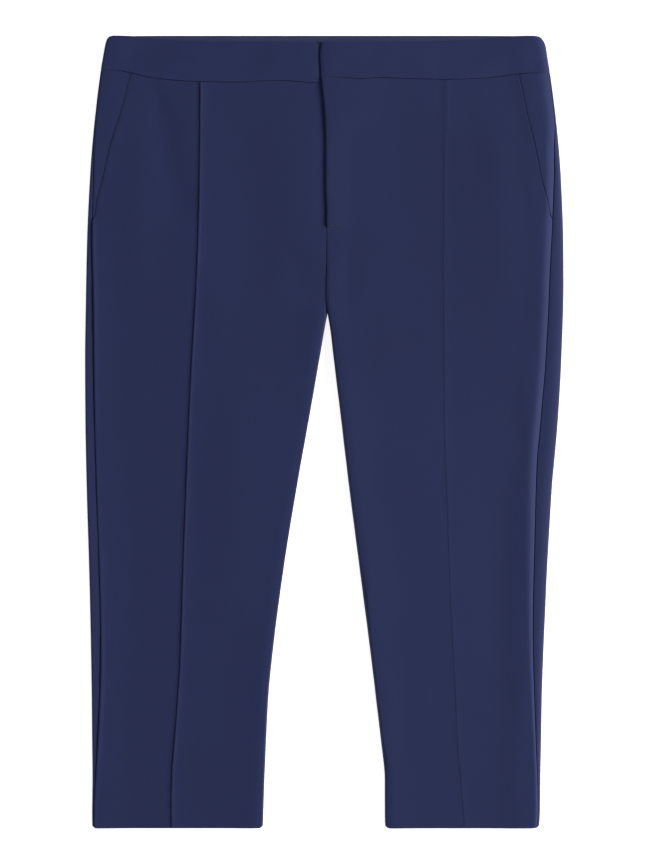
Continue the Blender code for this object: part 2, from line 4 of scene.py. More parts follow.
import bpy
import numpy as np
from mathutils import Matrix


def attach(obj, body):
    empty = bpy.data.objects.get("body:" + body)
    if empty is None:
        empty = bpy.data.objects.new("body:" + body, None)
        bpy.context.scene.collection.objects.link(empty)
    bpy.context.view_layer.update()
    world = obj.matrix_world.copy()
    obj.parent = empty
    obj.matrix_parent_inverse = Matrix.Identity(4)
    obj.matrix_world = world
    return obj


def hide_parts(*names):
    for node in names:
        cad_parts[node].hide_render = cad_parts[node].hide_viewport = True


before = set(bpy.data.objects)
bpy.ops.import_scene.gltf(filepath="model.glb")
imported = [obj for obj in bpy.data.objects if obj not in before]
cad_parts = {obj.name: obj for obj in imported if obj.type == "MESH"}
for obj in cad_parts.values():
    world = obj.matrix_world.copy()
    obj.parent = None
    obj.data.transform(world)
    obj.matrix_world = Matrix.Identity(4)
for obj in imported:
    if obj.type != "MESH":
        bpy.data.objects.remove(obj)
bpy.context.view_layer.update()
bpy.ops.object.select_all(action="DESELECT")
print("frame loaded,", len(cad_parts), "solids")

# Lengths are in millimetres and become metres where a mesh is filled in.
# "down" runs from the top edge of the back waistband to the hems, "across" to the wearer's left.
mm = 0.001
far = 99.0              # the distance given where a strip has no such edge


def table(names, *rows):
    return {name: np.array(column, float) for name, column in zip(names.split(), zip(*rows))}


def ease(value):
    value = np.clip(value, 0.0, 1.0)
    return value * value * (3.0 - 2.0 * value)


def ramp(place, start, end):
    # 0 up to start, 1 from end on, smooth in between
    return ease((place - start) / (end - start))


def window(place, start, full, fading, end):
    return ramp(place, start, full) * (1.0 - ramp(place, fading, end))


def bell(distance, width):
    return np.exp(-(distance / width) ** 2)


def waves(place, parts, phase=0.0):
    # each part is a height, a length and how far the phase moves it
    return sum(height * np.sin(place / length + shift * phase) for height, length, shift in parts)


def mix(start, end, share):
    return start + (end - start) * share


def readTable(source, column, place):
    # a smooth line through the points that never swings past them; the first column holds the places
    places, values = next(iter(source.values())), source[column]
    steps = np.diff(values) / np.diff(places)
    before, after = steps[:-1], steps[1:]
    total = np.where(before + after == 0.0, 1.0, before + after)
    middle = np.where(before * after > 0.0, 2.0 * before * after / total, 0.0)
    slopes = np.concatenate(([steps[0]], middle, [steps[-1]]))
    place = np.clip(place, places[0], places[-1])
    index = np.clip(np.searchsorted(places, place, side="right") - 1, 0, len(places) - 2)
    span = places[index + 1] - places[index]
    share = (place - places[index]) / span
    value = mix(values[index], values[index + 1], ease(share))
    value = value + slopes[index] * span * share * (1.0 - share) ** 2
    return value - slopes[index + 1] * span * share ** 2 * (1.0 - share)


garment = dict(
    length=832.0,       # waist to hem
    fork=293.4,         # waist to the fork of the legs
    forkAcross=4.0,
    forkRoll=14.0,      # the inner folds run out over this length above the fork
    cloth=0.9,          # wall of a leg panel
    thinnest=0.16,      # what a rounded edge leaves of a wall
    hemCloth=1.6,       # wall where the hem is turned up
    hemTurn=800.0,      # where the turned-up hem begins
    hemStep=1.5,        # half the length over which the wall grows there
    hemRows=(798.6, 799.4, 800.2, 801.0),
    gap=0.3,            # room between two pieces that meet
    seamRoom=0.18,      # and on each side of a side seam or a pocket mouth
    roundGap=0.33,
)
# cross-section of a flattened tube: roll is how far in a fold reaches its full height
legTube = dict(roll=4.0, rightRoll=2.2, innerRoll=2.4, fold=6.0, loft=4.8, fade=24.0)
leftRoll = dict(top=11.0, share=0.9, least=6.0, most=13.0, down=(90.0, 130.0))

rightSections = table(
    "down outer seam tuck",
    (0, 221.1, 0.5, 130.2), (1.2, 225.4, 0.5, 130.2), (4, 227.8, 0.5, 130.2),
    (10, 229.6, 0.5, 130.2), (20, 231.4, 0.5, 130.2), (40, 234.6, 0.5, 130.2),
    (90, 240.6, 0.8, 130.5), (120, 243.4, 2, 130.7), (150, 245.5, 3.6, 131),
    (215, 248.5, 5.4, 132.6), (280, 249.8, 8, 135.4), (340, 250.6, 9.3, 138.9),
    (400, 250.3, 9.9, 142), (470, 249, 10.4, 144.7), (560, 246.3, 10.8, 148),
    (605, 245.2, 10.9, 149.4), (650, 244.3, 10.3, 150.8), (695, 243.6, 8.7, 153.4),
    (740, 243.2, 6.1, 156.8), (780, 242.8, 3.5, 159.7), (815, 243.2, 2.1, 160.3),
    (829, 243, 2.1, 160), (832, 240.4, 2.1, 160),
)

leftSections = table(
    "down outer seam tuck",
    (0, 222.5, 1.2, 126.2), (1.2, 226.8, 1.2, 126.2), (4, 229.9, 1.2, 126.2), (10, 233, 1.2, 126.2),
    (20, 234.7, 1.2, 126.2), (40, 237.9, 1.2, 126.2), (90, 244.3, 1.6, 125.9),
    (120, 247.2, 5.4, 125.6), (150, 249.3, 7.7, 125.4), (215, 251.7, 12.7, 125.3),
    (260, 252, 15.3, 125.3), (340, 249.7, 16.9, 125.6), (400, 246.3, 18.4, 126.3),
    (435, 243.4, 18.8, 127.2), (470, 240.1, 17.3, 128.8), (515, 237.3, 15.7, 130.6),
    (560, 234.7, 14.3, 133), (605, 232.7, 13.2, 135.4), (650, 230.7, 11, 137.8),
    (695, 229.2, 8.2, 139.8), (740, 228.4, 5.8, 141.9), (780, 227.6, 3.3, 145.1),
    (815, 227.2, 2.2, 148.1), (829, 226.4, 2.2, 148.9), (832, 223.6, 2.2, 148.9),
)

# inner folds of the legs, each measured outwards from the middle
inseams = table(
    "down right left",
    (293.4, -3.85, 4.15), (300, -2.4, 5.4), (312, -0.3, 7.2), (340, 4.5, 10.4), (400, 15, 17.7),
    (470, 27.5, 26), (560, 42.1, 37.6), (650, 53.8, 49.2), (695, 58.1, 54.6), (740, 60.4, 59.9),
    (780, 62.1, 63.9), (815, 63.3, 64), (829, 63.8, 64.4), (832, 66.4, 67.2),
)

# the edge of the fly, and below its foot the centre front seam
flyEdge = table(
    "down across",
    (7, -2.2), (19, -3.7), (42, -2.6), (80, 1.1), (110, 2.2), (150, 2.1), (190, 3.2), (212, 3.2),
    (242, 3), (264, 2.5), (280, 2.5), (293.4, 4),
)

# how far in from the outer fold each pocket mouth lies
mouths = table(
    "down right left",
    (36, 33, 34.2), (75, 27.6, 31.4), (101, 22, 28.2), (121, 18.1, 25.2), (150, 13.6, 21.6),
    (172, 9.2, 16.6), (195, 7, 12.8),
)

rightBandSeam = table(
    "across down",
    (-234.5, 36.2), (-222, 36.3), (-201, 39.8), (-185, 43.8), (-166, 46.1), (-138, 48.3), (-96, 49),
    (-50, 47.3), (-4, 49.7), (36, 49.7),
)

leftBandSeam = table(
    "across down",
    (-5, 43.1), (22, 44.7), (40, 45.3), (58, 44.3), (80, 45), (108, 45.7), (124, 46.2), (146, 45.8),
    (182, 43.8), (204, 40.6), (228, 39.4), (236.4, 39.1),
)

# always above the front's seams, so that nothing shows through both
backBandSeam = table(
    "across down",
    (-234.5, 36.2), (-232.8, 35.4), (-228, 34.6), (-222, 34.4), (-205, 35.9), (-185, 37.8),
    (-160, 39.3), (-120, 40.1), (0, 39.8), (60, 39.1), (120, 39.8), (160, 39.4), (182, 38.8),
    (206, 37.6), (224, 37.3), (230, 37.6), (234.6, 38.3), (236.4, 39.1),
)

frontBandTop = table(
    "across down",
    (-226, 0.3), (-205, 0.7), (-184, 2), (-165, 4.2), (-100, 6.6), (0, 7), (100, 6.6), (165, 4.2),
    (184, 2), (205, 0.7), (226, 0.3),
)

right = dict(name="right", sign=-1, sections=rightSections, bandSeam=rightBandSeam, foldMiddle=3.0)
left = dict(name="left", sign=1, sections=leftSections, bandSeam=leftBandSeam, foldMiddle=2.2)


def outerAt(half, down):
    return readTable(half["sections"], "outer", down)


def seamAt(half, down):
    return readTable(half["sections"], "seam", down)


def inseamAt(half, down):
    return readTable(inseams, half["name"], down)


def flyAcross(down):
    return readTable(flyEdge, "across", down)


def rolled(path, depth, radius):
    # distance in from a fold and share of its height, for a path along the cloth
    quarter = radius * math.pi / 2.0
    turn = np.clip(path, 0.0, quarter) / radius
    inward = depth + (radius - depth) * (1.0 - np.cos(turn)) + np.maximum(path - quarter, 0.0)
    return inward, np.sin(turn)


def pathTo(inward, radius):
    bent = radius * np.arccos(1.0 - np.clip(inward, 0.0, radius) / radius)
    return bent + np.maximum(inward - radius, 0.0)


def innerRoll(down):
    return ramp(down, garment["fork"] - garment["forkRoll"], garment["fork"])


def outerRoll(half, down):
    # the right side is folded tight, the left one rolls over from the seam outwards
    if half is right:
        return legTube["rightRoll"] + 0.0 * down
    beyondSeam = np.clip(seamAt(left, down) * leftRoll["share"], leftRoll["least"], leftRoll["most"])
    return mix(leftRoll["top"], beyondSeam, ramp(down, *leftRoll["down"]))


def seamPath(half, down):
    return pathTo(seamAt(half, down), outerRoll(half, down))


def mouthPath(half, down):
    return pathTo(readTable(mouths, half["name"], down), outerRoll(half, down))


def tuckPath(half, down):
    width = outerAt(half, down) - readTable(half["sections"], "tuck", down)
    return pathTo(width, outerRoll(half, down))


fly = dict(
    under=4.0,          # the right front runs on this far under the left one
    recede=195.0,       # from here it draws back to the centre seam
    foot=199.0,
    lift=1.95,
    press=1.25,         # what is left of the lift at the foot
    pressDown=(68.0, 118.0),
    runOut=(197.5, 203.5),      # over this stretch the two fronts become level
    full=5.0,           # width that is lifted fully
    fade=80.0,
    fadeFoot=32.0,
    sink=0.4,           # how far the right front gives way under the edge
    sinkFoot=0.75,
    sinkWidth=15.0,
)
# how much higher the left front stays along the centre seam
centreStep = table(
    "down height",
    (199, 0.15), (214, 0.3), (236, 0.6), (252, 0.9), (276, 0.9), (288, 0.8), (300, 0.3), (312, 0),
)


def flyLift(half, across, down):
    pressed = ramp(down, *fly["pressDown"])
    kept = 1.0 - ramp(down, *fly["runOut"])
    if half is right:
        edge = np.maximum(-across - frontInner(right, down), 0.0)
        return -mix(fly["sink"], fly["sinkFoot"], pressed) * bell(edge, fly["sinkWidth"]) * kept
    lift = mix(fly["lift"], fly["press"], pressed) * kept
    lift = lift + readTable(centreStep, "height", down) * (1.0 - kept)
    return lift * (1.0 - ramp(across, fly["full"], mix(fly["fade"], fly["fadeFoot"], pressed)))


def frontInner(half, down):
    centre = half["sign"] * flyAcross(down) + garment["gap"] / 2.0
    if half is right:
        centre = mix(-fly["under"], centre, ramp(down, fly["recede"], fly["foot"]))
    return np.where(down >= garment["fork"], inseamAt(half, down), centre)


backSeam = dict(
    aside=4.5,          # the centre back seam lies this far beside the front one
    turn=57.4,          # and bends in to the fork over this length
    runIn=120.0,        # from the middle of the waist it runs in to its place
)


def backInner(half, down):
    # beside the front seam until the fork, so that nothing shows through both
    share = np.clip((down - garment["fork"] + backSeam["turn"]) / backSeam["turn"], 0.0, 1.0)
    aside = garment["forkAcross"] + backSeam["aside"] * (1.0 - share ** 3)
    centre = half["sign"] * aside * ease(down / backSeam["runIn"]) + garment["gap"] / 2.0
    return np.where(down >= garment["fork"], inseamAt(half, down), centre)


# how the cloth swells beside each outer fold, and how it lies across the side seam
swells = dict(
    right=dict(height=0.3, middle=14.0, width=15.0, lower=0.1, tilt=0.13, power=2.0),
    left=dict(height=0.6, middle=26.0, width=14.0, lower=0.5, tilt=0.0, power=1.7),
)

# how far a front steps up at the side seam, and over what width
rightStep = table(
    "down height width",
    (0, 0.3, 0.8), (280, 0.3, 0.9), (480, 0.3, 0.9), (660, 0.1, 0.8), (832, 0.1, 0.8),
)
leftStep = table(
    "down height width",
    (50, 1.3, 15), (80, 1.6, 13), (130, 3, 9.8), (278, 2.4, 8.2), (435, 2.9, 8.8), (593, 1.8, 5.8),
    (750, 1, 3.4), (832, 0.7, 3.4),
)

frontForm = dict(
    meetLength=130.0,                       # below the fork the fronts part in level over this length
    meetInward=(40.0, 170.0),               # above it they come level this far in from the folds
    tilt=1.5,                               # both lean to the wearer's left beside the inner folds
    tiltDown=(310.0, 400.0, 560.0, 680.0),
    tiltWidth=36.0,
    drop=dict(right=0.7, left=0.5),         # the inner edges turn down
    dropWidth=5.5,
    sharp=2.3,                              # and the left one sharply below the knee
    sharpWidth=1.4,
    sharpDown=(540.0, 630.0, 745.0, 790.0),
    sharpRoll=1.8,
    sharpRollDown=(560.0, 650.0),
    valley=dict(right=(0.12, 1.2), left=(0.4, 1.8)),    # depth and width along the centre seam
    valleyShare=0.2,                        # what of it there is under the foot of the fly
    valleyDeepens=(216.0, 250.0),
    valleyDown=(201.0, 205.0, 290.0, 308.0),
    foldGain=1.35,
)


def sideRise(tube, distance):
    return (tube["fold"] - tube["loft"]) * bell(distance, tube["fade"])


def sideSwell(half, distance):
    swell = swells[half["name"]]
    return swell["height"] * bell(distance - swell["middle"], swell["width"])


def sideStep(half, down, distance):
    swell = swells[half["name"]]
    steps = rightStep if half is right else leftStep
    height = readTable(steps, "height", down) + swell["lower"]
    beyond = distance - seamAt(half, down)
    share = np.clip(beyond / readTable(steps, "width", down), 0.0, 1.0)
    height = height * (1.0 - (1.0 - share) ** swell["power"]) - swell["lower"]
    apart = ramp(down, garment["fork"], garment["fork"] + frontForm["meetLength"])
    together = (1.0 - apart) * ramp(distance, *frontForm["meetInward"])
    return height * (1.0 - together) - swell["tilt"] * np.minimum(beyond, 0.0)


def innerRadius(half, down):
    if half is right:
        return legTube["innerRoll"] + 0.0 * down
    return mix(legTube["innerRoll"], frontForm["sharpRoll"], ramp(down, *frontForm["sharpRollDown"]))


def innerTilt(half, down, distance):
    share = window(down, *frontForm["tiltDown"])
    return half["sign"] * frontForm["tilt"] * share * bell(distance, frontForm["tiltWidth"])


def inseamDrop(half, down, distance):
    sharp = window(down, *frontForm["sharpDown"]) if half is left else 0.0
    depth = mix(frontForm["drop"][half["name"]], frontForm["sharp"], sharp)
    return depth * bell(distance, mix(frontForm["dropWidth"], frontForm["sharpWidth"], sharp))


def forkValley(half, down, fromInner):
    # the fronts sink along the centre seam below the fly
    depth, width = frontForm["valley"][half["name"]]
    share = mix(frontForm["valleyShare"], 1.0, ramp(down, *frontForm["valleyDeepens"]))
    return depth * share * window(down, *frontForm["valleyDown"]) * bell(fromInner, width)


# soft folds run straight between two places, negative ones are troughs
frontFolds = table(
    "across down toAcross toDown width height",
    (-178, 50, -143, 215, 17, -0.9), (-202, 70, -196, 300, 20, 0.5), (-92, 60, -70, 300, 40, -0.9),
    (-84, 340, -96, 660, 34, 0.4), (-200, 380, -196, 720, 22, -0.4), (64, 260, 84, 600, 38, 0.4),
    (92, 70, 60, 210, 30, -0.5), (180, 60, 196, 300, 26, 0.5), (176, 420, 186, 760, 24, -0.4),
)

# smaller ones, only in the cloth's own surface
bandFolds = table(
    "across down toAcross toDown width height",
    (-216, 20, -150, 12, 9, -0.55), (-176, 34, -120, 22, 8, 0.3), (-128, 14, -60, 30, 12, -0.35),
    (-66, 24, -8, 16, 10, 0.45), (8, 30, 62, 22, 10, -0.3), (52, 14, 120, 26, 12, 0.35),
    (108, 34, 170, 24, 9, -0.35), (168, 14, 222, 26, 10, 0.4),
)

frontCreases = table(
    "across down toAcross toDown width height",
    (-187, 36, -166, 96, 8.5, -0.6), (-152, 96, -146, 176, 8.5, 0.18),
    (-188, 44, -176, 74, 4.5, 0.3), (-213, 128, -226, 236, 8, 0.2), (-38, 214, -12, 286, 9, -0.26),
    (-62, 238, -22, 300, 12, 0.2), (-26, 330, -58, 470, 11, 0.22), (-108, 210, -116, 372, 14, 0.16),
    (-168, 300, -176, 520, 15, -0.2), (-214, 470, -208, 640, 10, 0.16),
    (-96, 560, -112, 770, 16, -0.16), (-186, 640, -200, 800, 12, 0.14),
    (34, 206, 14, 282, 8, -0.24), (52, 224, 26, 318, 10, 0.22), (38, 372, 58, 520, 12, -0.18),
    (150, 66, 166, 168, 10, -0.2), (206, 96, 224, 190, 8, 0.18), (104, 250, 112, 430, 15, 0.14),
    (160, 250, 172, 410, 16, -0.18), (208, 300, 210, 430, 9, 0.24), (212, 404, 221, 436, 4, 0.22),
    (96, 590, 110, 790, 15, 0.14), (188, 560, 182, 720, 13, 0.14), (78, 640, 84, 780, 10, -0.14),
)

backCreases = table(
    "across down toAcross toDown width height",
    (-150, 60, -60, 190, 26, 0.55), (150, 70, 70, 200, 24, 0.5), (-30, 180, -8, 286, 12, 0.45),
    (40, 190, 12, 288, 14, 0.4), (-190, 120, -176, 330, 20, 0.42), (196, 110, 182, 300, 18, 0.46),
    (-90, 300, -120, 520, 24, 0.5), (92, 310, 112, 500, 26, 0.44), (-48, 380, -74, 560, 13, 0.34),
    (60, 400, 82, 610, 15, 0.36), (-196, 430, -190, 660, 18, 0.4), (186, 440, 176, 640, 17, 0.38),
    (-140, 600, -150, 780, 22, 0.4), (134, 620, 142, 790, 20, 0.36), (-88, 680, -92, 790, 11, 0.26),
    (96, 690, 100, 794, 12, 0.24),
)

# folds run out over these distances from the outer edge, the inner edge and the hem
foldEnds = 0.3          # share of its length over which a fold begins and ends
foldRoom = dict(
    large=((6.0, 30.0), (2.0, 28.0), 40.0),
    fine=((3.0, 12.0), (2.0, 11.0), 24.0),
    back=((10.0, 30.0), (3.0, 19.0), 40.0),
)


def foldHeight(folds, across, down):
    total = np.zeros(np.broadcast(across, down).shape)
    for startAcross, startDown, endAcross, endDown, width, height in zip(*folds.values()):
        runAcross, runDown = endAcross - startAcross, endDown - startDown
        length = math.hypot(runAcross, runDown)
        offAcross, offDown = across - startAcross, down - startDown
        share = (offAcross * runAcross + offDown * runDown) / length ** 2
        aside = (offAcross * runDown - offDown * runAcross) / length
        total += height * ease(share / foldEnds) * ease((1.0 - share) / foldEnds) * bell(aside, width)
    return total


def calmAtEdges(room, down, fromOuter, fromInner):
    outer, inner, hem = foldRoom[room]
    return ramp(fromOuter, *outer) * ramp(fromInner, *inner) * ease((garment["length"] - down) / hem)


def frontLevel(half, across, down, fromOuter, fromInner):
    level = legTube["loft"] + sideRise(legTube, fromOuter) + sideSwell(half, fromOuter)
    level = level + sideStep(half, down, fromOuter) + innerTilt(half, down, fromInner)
    inner = sideRise(legTube, fromInner) - inseamDrop(half, down, fromInner)
    level = level + innerRoll(down) * inner - forkValley(half, down, fromInner)
    large = calmAtEdges("large", down, fromOuter, fromInner) * frontForm["foldGain"]
    level = level + large * foldHeight(frontFolds, across, down)
    fine = calmAtEdges("fine", down, fromOuter, fromInner)
    return level + fine * foldHeight(frontCreases, across, down)


def fromOuterFold(half, radius, path, down, depth):
    inward, lift = rolled(path, depth, radius)
    return half["sign"] * (outerAt(half, down) - inward), lift


def fromInnerEdge(half, path, down, depth, inner):
    roll = innerRadius(half, down)
    inward, lift = rolled(path, depth, roll)
    quarter = roll * math.pi / 2.0
    flat = np.where(path < quarter, path / quarter * roll, path - quarter + roll)
    amount = innerRoll(down)
    return half["sign"] * (inner + mix(flat, inward, amount)), mix(1.0, lift, amount)


# a layer turns a path along the cloth, a place down and a depth into places across and heights
def frontLayer(half, side, path, down, depth):
    inner = frontInner(half, down)
    if side == "outer":
        across, lift = fromOuterFold(half, outerRoll(half, down), path, down, depth)
    else:
        across, lift = fromInnerEdge(half, path, down, depth, inner)
    fromOuter = outerAt(half, down) - half["sign"] * across
    level = frontLevel(half, across, down, fromOuter, half["sign"] * across - inner)
    middle = half["foldMiddle"]
    return across, middle + (level - depth - middle) * lift + flyLift(half, across, down)


def backLayer(half, side, path, down, depth):
    inner = backInner(half, down)
    if side == "outer":
        across, lift = fromOuterFold(half, legTube["roll"], path, down, depth)
    else:
        across, lift = fromInnerEdge(half, path, down, depth, inner)
    fromOuter = outerAt(half, down) - half["sign"] * across
    creases = calmAtEdges("back", down, fromOuter, half["sign"] * across - inner)
    creases = creases * foldHeight(backCreases, across, down)
    return across, half["foldMiddle"] - (half["foldMiddle"] - depth) * lift + creases


def lip(distance, width):
    # 1 at an edge, 0 from this width on, round in between
    share = np.clip(distance / width, 0.0, 1.0)
    return 1.0 - np.sqrt(np.clip(1.0 - (1.0 - share) ** 2, 0.0, 1.0))


seamShare = 0.4         # how much a drawn-in seam varies
seamWaves = ((0.5, 7.3, 1.0), (0.3, 17.9, 2.0), (0.2, 3.1, 3.0))
puckerWaves = ((0.5, 5.3, 1.0), (0.35, 8.9, 2.1), (0.15, 3.7, 0.7))


def unevenly(width, place, phase):
    # a seam is drawn in more here and less there
    return width * (1.0 + seamShare * waves(place, seamWaves, phase))


def pucker(distance, down, width, height, phase):
    # the cloth draws in a little and unevenly beside a row of stitches
    return height * waves(down, puckerWaves, phase) * bell(distance, width)


edgeStops = (0.0, 0.1, 0.25, 0.45, 0.7, 1.0, 1.4, 2.0, 2.8, 3.8, 5.2, 7.2, 10.0)
turnStops = (7.5, 6.4, 5.4, 4.5, 3.77, 3.1, 2.5, 1.95, 1.5, 1.1, 0.8, 0.55, 0.33, 0.15, 0.0)
foldStops = (0.0, 0.1, 0.25, 0.45, 0.75, 1.1, 1.6, 2.3, 3.1, 4.0, 5.0, 6.0)
innerTurn = turnStops[0] - legTube["innerRoll"] * (math.pi / 2.0 - 1.0)
rowStops = edgeStops[:9]        # rows at the waist and at the hem
hipStops = edgeStops[:6]


def spread(start, end, count):
    # shares strictly between two stops
    return [mix(start, end, (index + 1) / (count + 1)) for index in range(count)]


def placeRows(first, count, last, extra=()):
    stops = [first + stop for stop in rowStops]
    stops += spread(first + rowStops[-1], last - rowStops[-1], count)
    stops += [last - stop for stop in reversed(rowStops)]
    return sorted(set(stops) | set(extra))


def beside(place, stops):
    # columns at fixed distances from a line
    return [lambda down, stop=stop: place(down) + stop for stop in stops]


def between(first, last, count, after=0.0, before=0.0):
    # columns spread evenly from a little after one line to a little before another
    return [lambda down, share=share: mix(first(down) + after, last(down) + before, share)
            for share in spread(0.0, 1.0, count)]


def atFold(down):
    # where a path round an outer fold begins
    return 0.0 * down


def roundInnerFold():
    # above the fork these columns run straight to the centre seam
    return [lambda down, stop=stop: np.maximum(stop, garment["roundGap"] * innerRoll(down))
            for stop in turnStops]


def makeStrip(half, layer, side, columns):
    # part of a sheet: columns are functions of down that give a path along the cloth
    return dict(half=half, layer=layer, side=side, columns=columns)


def pathAt(strip, down):
    return np.stack([column(down[:, index]) for index, column in enumerate(strip["columns"])], axis=1)


def follow(strip, down):
    strip.update(down=down, path=pathAt(strip, down))


def laid(strip, depth):
    return strip["layer"](strip["half"], strip["side"], strip["path"], strip["down"], depth)


def joinedUp(strips, key):
    return np.hstack([strip[key] for strip in strips])


def alone(strips, chosen, values, elsewhere=far):
    # values on one strip, the same number on the others
    return np.hstack([values if strip is chosen else np.full(strip["down"].shape, elsewhere)
                      for strip in strips])


def settle(strips, rowPlaces, rows):
    # rows may follow a seam, so a point's place down depends on where it lies across
    rows = np.array(rows)[:, None]
    for strip in strips:
        follow(strip, np.repeat(rows, len(strip["columns"]), axis=1))
        for _ in range(5):
            follow(strip, rowPlaces(strip, laid(strip, 0.0)[0], rows))
    return joinedUp(strips, "down")


waistSeam = dict(
    row=49.0,           # the waist as the rows of the legs are counted
    fade=60.0,          # the rows below it straighten out over this length
    gap=0.62,           # the waist seams are drawn in deep
    shut=0.06,          # half of it where a seam is closed up
    uneven=0.06,
    waves=((1.0, 5.3, 1.0), (0.7, 2.3, 2.0)),
    outer=(208.0, 226.0),       # closed at the outer folds
    fly=2.0,
    flyRoom=(6.0, 18.0),        # and beside the fly
)


def waistRoom(across, phase):
    # half the room in a waist seam
    wave = waistSeam["uneven"] * waves(across, waistSeam["waves"], phase)
    drawn = 1.0 - ramp(np.abs(across), *waistSeam["outer"])
    room = mix(waistSeam["shut"], waistSeam["gap"] / 2.0 + wave, drawn)
    return mix(waistSeam["shut"], room, ramp(np.abs(across - waistSeam["fly"]), *waistSeam["flyRoom"]))


def legRows(strip, across, rows):
    # the first row follows the waist seam, and the next ones straighten out
    seam = backBandSeam if strip["layer"] is backLayer else strip["half"]["bandSeam"]
    start = readTable(seam, "down", across) + waistRoom(across, 1.0) - waistSeam["row"]
    return rows + start * (1.0 - ramp(rows, waistSeam["row"], waistSeam["row"] + waistSeam["fade"]))


# what a face gives way at its edges; what is raised runs out there
edgeDepth = dict(inner=0.85, waist=0.4, hem=0.55, hemLip=1.1, runOut=1.2)


def drawnIn(wall, sink, raised):
    # how far an outer face lies under its plain layer, sink being a share of the wall
    return wall * sink - raised * (1.0 - ease(sink * edgeDepth["runOut"]))


def legWall(down):
    start, end = garment["hemTurn"] - garment["hemStep"], garment["hemTurn"] + garment["hemStep"]
    return mix(garment["cloth"], garment["hemCloth"], ramp(down, start, end))


def layFaces(strips, wall, sunk, deepest=None):
    # outer and inner points of a sheet; where deepest is given, the cloth bends in no further
    cuts = np.cumsum([len(strip["columns"]) for strip in strips])[:-1]
    faces = []
    for depth in (np.minimum(sunk, wall - garment["thinnest"]), wall):
        parts = []
        for strip, deep in zip(strips, np.split(depth, cuts, axis=1)):
            bend = deep if deepest is None else np.clip(deep, 0.0, deepest)
            across, height = laid(strip, bend)
            parts.append((across, height + (bend - deep)))
        faces.append([np.hstack(both) for both in zip(*parts)])
    return faces


def shell(name, faces, width, down, flip):
    # a grid, given a wall and then shaped: faces holds the outer and inner points
    rows, columns = down.shape
    bpy.ops.mesh.primitive_grid_add(x_subdivisions=columns - 1, y_subdivisions=rows - 1, size=1.0)
    piece = bpy.context.object
    piece.name = piece.data.name = name
    wall = piece.modifiers.new("wall", "SOLIDIFY")
    wall.thickness = garment["cloth"] * mm
    wall.offset = -1.0
    bpy.ops.object.modifier_apply(modifier=wall.name)
    order = slice(None, None, -1) if flip else slice(None)
    places = []
    for across, height in faces:
        place = np.stack((across, garment["length"] / 2.0 - down, height), axis=-1) * mm
        places.append(place[::-1, order].reshape(-1, 3))
    piece.data.vertices.foreach_set("co", np.concatenate(places).astype(np.float32).ravel())
    flat = np.stack((width, garment["length"] - down), axis=-1)[::-1, order].reshape(-1, 2) * mm
    corners = np.zeros(len(piece.data.loops), np.int32)
    piece.data.loops.foreach_get("vertex_index", corners)
    laidOut = flat[corners % len(flat)].astype(np.float32)
    piece.data.uv_layers.active.data.foreach_set("uv", laidOut.ravel())
    piece.data.update()
    bpy.ops.object.shade_smooth()
    bpy.ops.object.select_all(action="DESELECT")
    return piece


def makeSheet(name, faces, width, down, flip, facts):
    # the piece, and its node, slot, size as it lies open, area and what it rests on
    piece = shell(name, faces, width, down, flip)
    across, height = faces[0]
    spots = np.stack((across, down, height), axis=-1) * mm
    first, second = spots[1:, 1:] - spots[:-1, :-1], spots[1:, :-1] - spots[:-1, 1:]
    area = float(np.linalg.norm(np.cross(first, second), axis=-1).sum() / 2.0)
    widest = float((width.max(axis=1) - width.min(axis=1)).max()) * mm
    long = float(down.max() - down.min()) * mm
    node, slotName, restsOn = facts
    return piece, (node, slotName, (widest, long), min(area, widest * long), restsOn)


frontLook = dict(
    columnsBeforeTuck=22,
    columnsAfterTuck=34,
    rows=176,
    footRows=(187.0, 189.0, 191.0, 193.0, 195.0, 197.0, 199.0, 200.2, 201.5, 202.8, 204.0),
    mouthFoot=(188.0, 195.0),               # where the pocket mouth ends in the side seam
    flyFoot=(196.0, 204.0),
    ridge=dict(right=0.6, left=0.0),        # a front stands proud beside its side seam
    ridgeWidth=dict(right=1.3, left=9.0),
    ridgeWaves=((0.5, 66.8, -2.59), (0.14, 14.3, 0.0)),     # it is higher here and lower there
    mouthGape=dict(right=0.1, left=0.0),    # the pocket mouths stand open a little
    gapeDown=(56.0, 102.0, 136.0, 180.0),
    gapeWidth=7.0,
    mouthThin=dict(right=0.12, left=-0.1),
    thinDown=(180.0, 200.0),
    thinWidth=3.2,
    mouthWall=0.5,                          # a front grows thin towards its pocket mouth
    mouthWallDown=(180.0, 194.0),
    mouthWallWidth=4.0,
    mouthLip=dict(right=2.4, left=0.7),
    mouthDepth=dict(right=0.45, left=0.15),
    sideLip=0.6,
    sideDepth=0.3,
    seamLip=0.5,
    flyLip=0.9,
    flyRound=0.25,                          # the fly's edge rounds down
    flyRoundWidth=2.2,
    centreLip=dict(right=0.25, left=0.8),
    forkLip=dict(right=0.22, left=0.9),     # the centre seam pulls apart towards the fork
    forkDown=(236.0, 256.0, 284.0, 296.0),
    puckerHeight=0.07,
    puckers=dict(edge=(4.5, 1.0, 0.4), inner=(4.5, 1.0, 1.9), waist=(4.0, 0.8, 0.9),
                 tuck=(5.0, 0.7, 2.6)),     # width, share of the height, phase
)
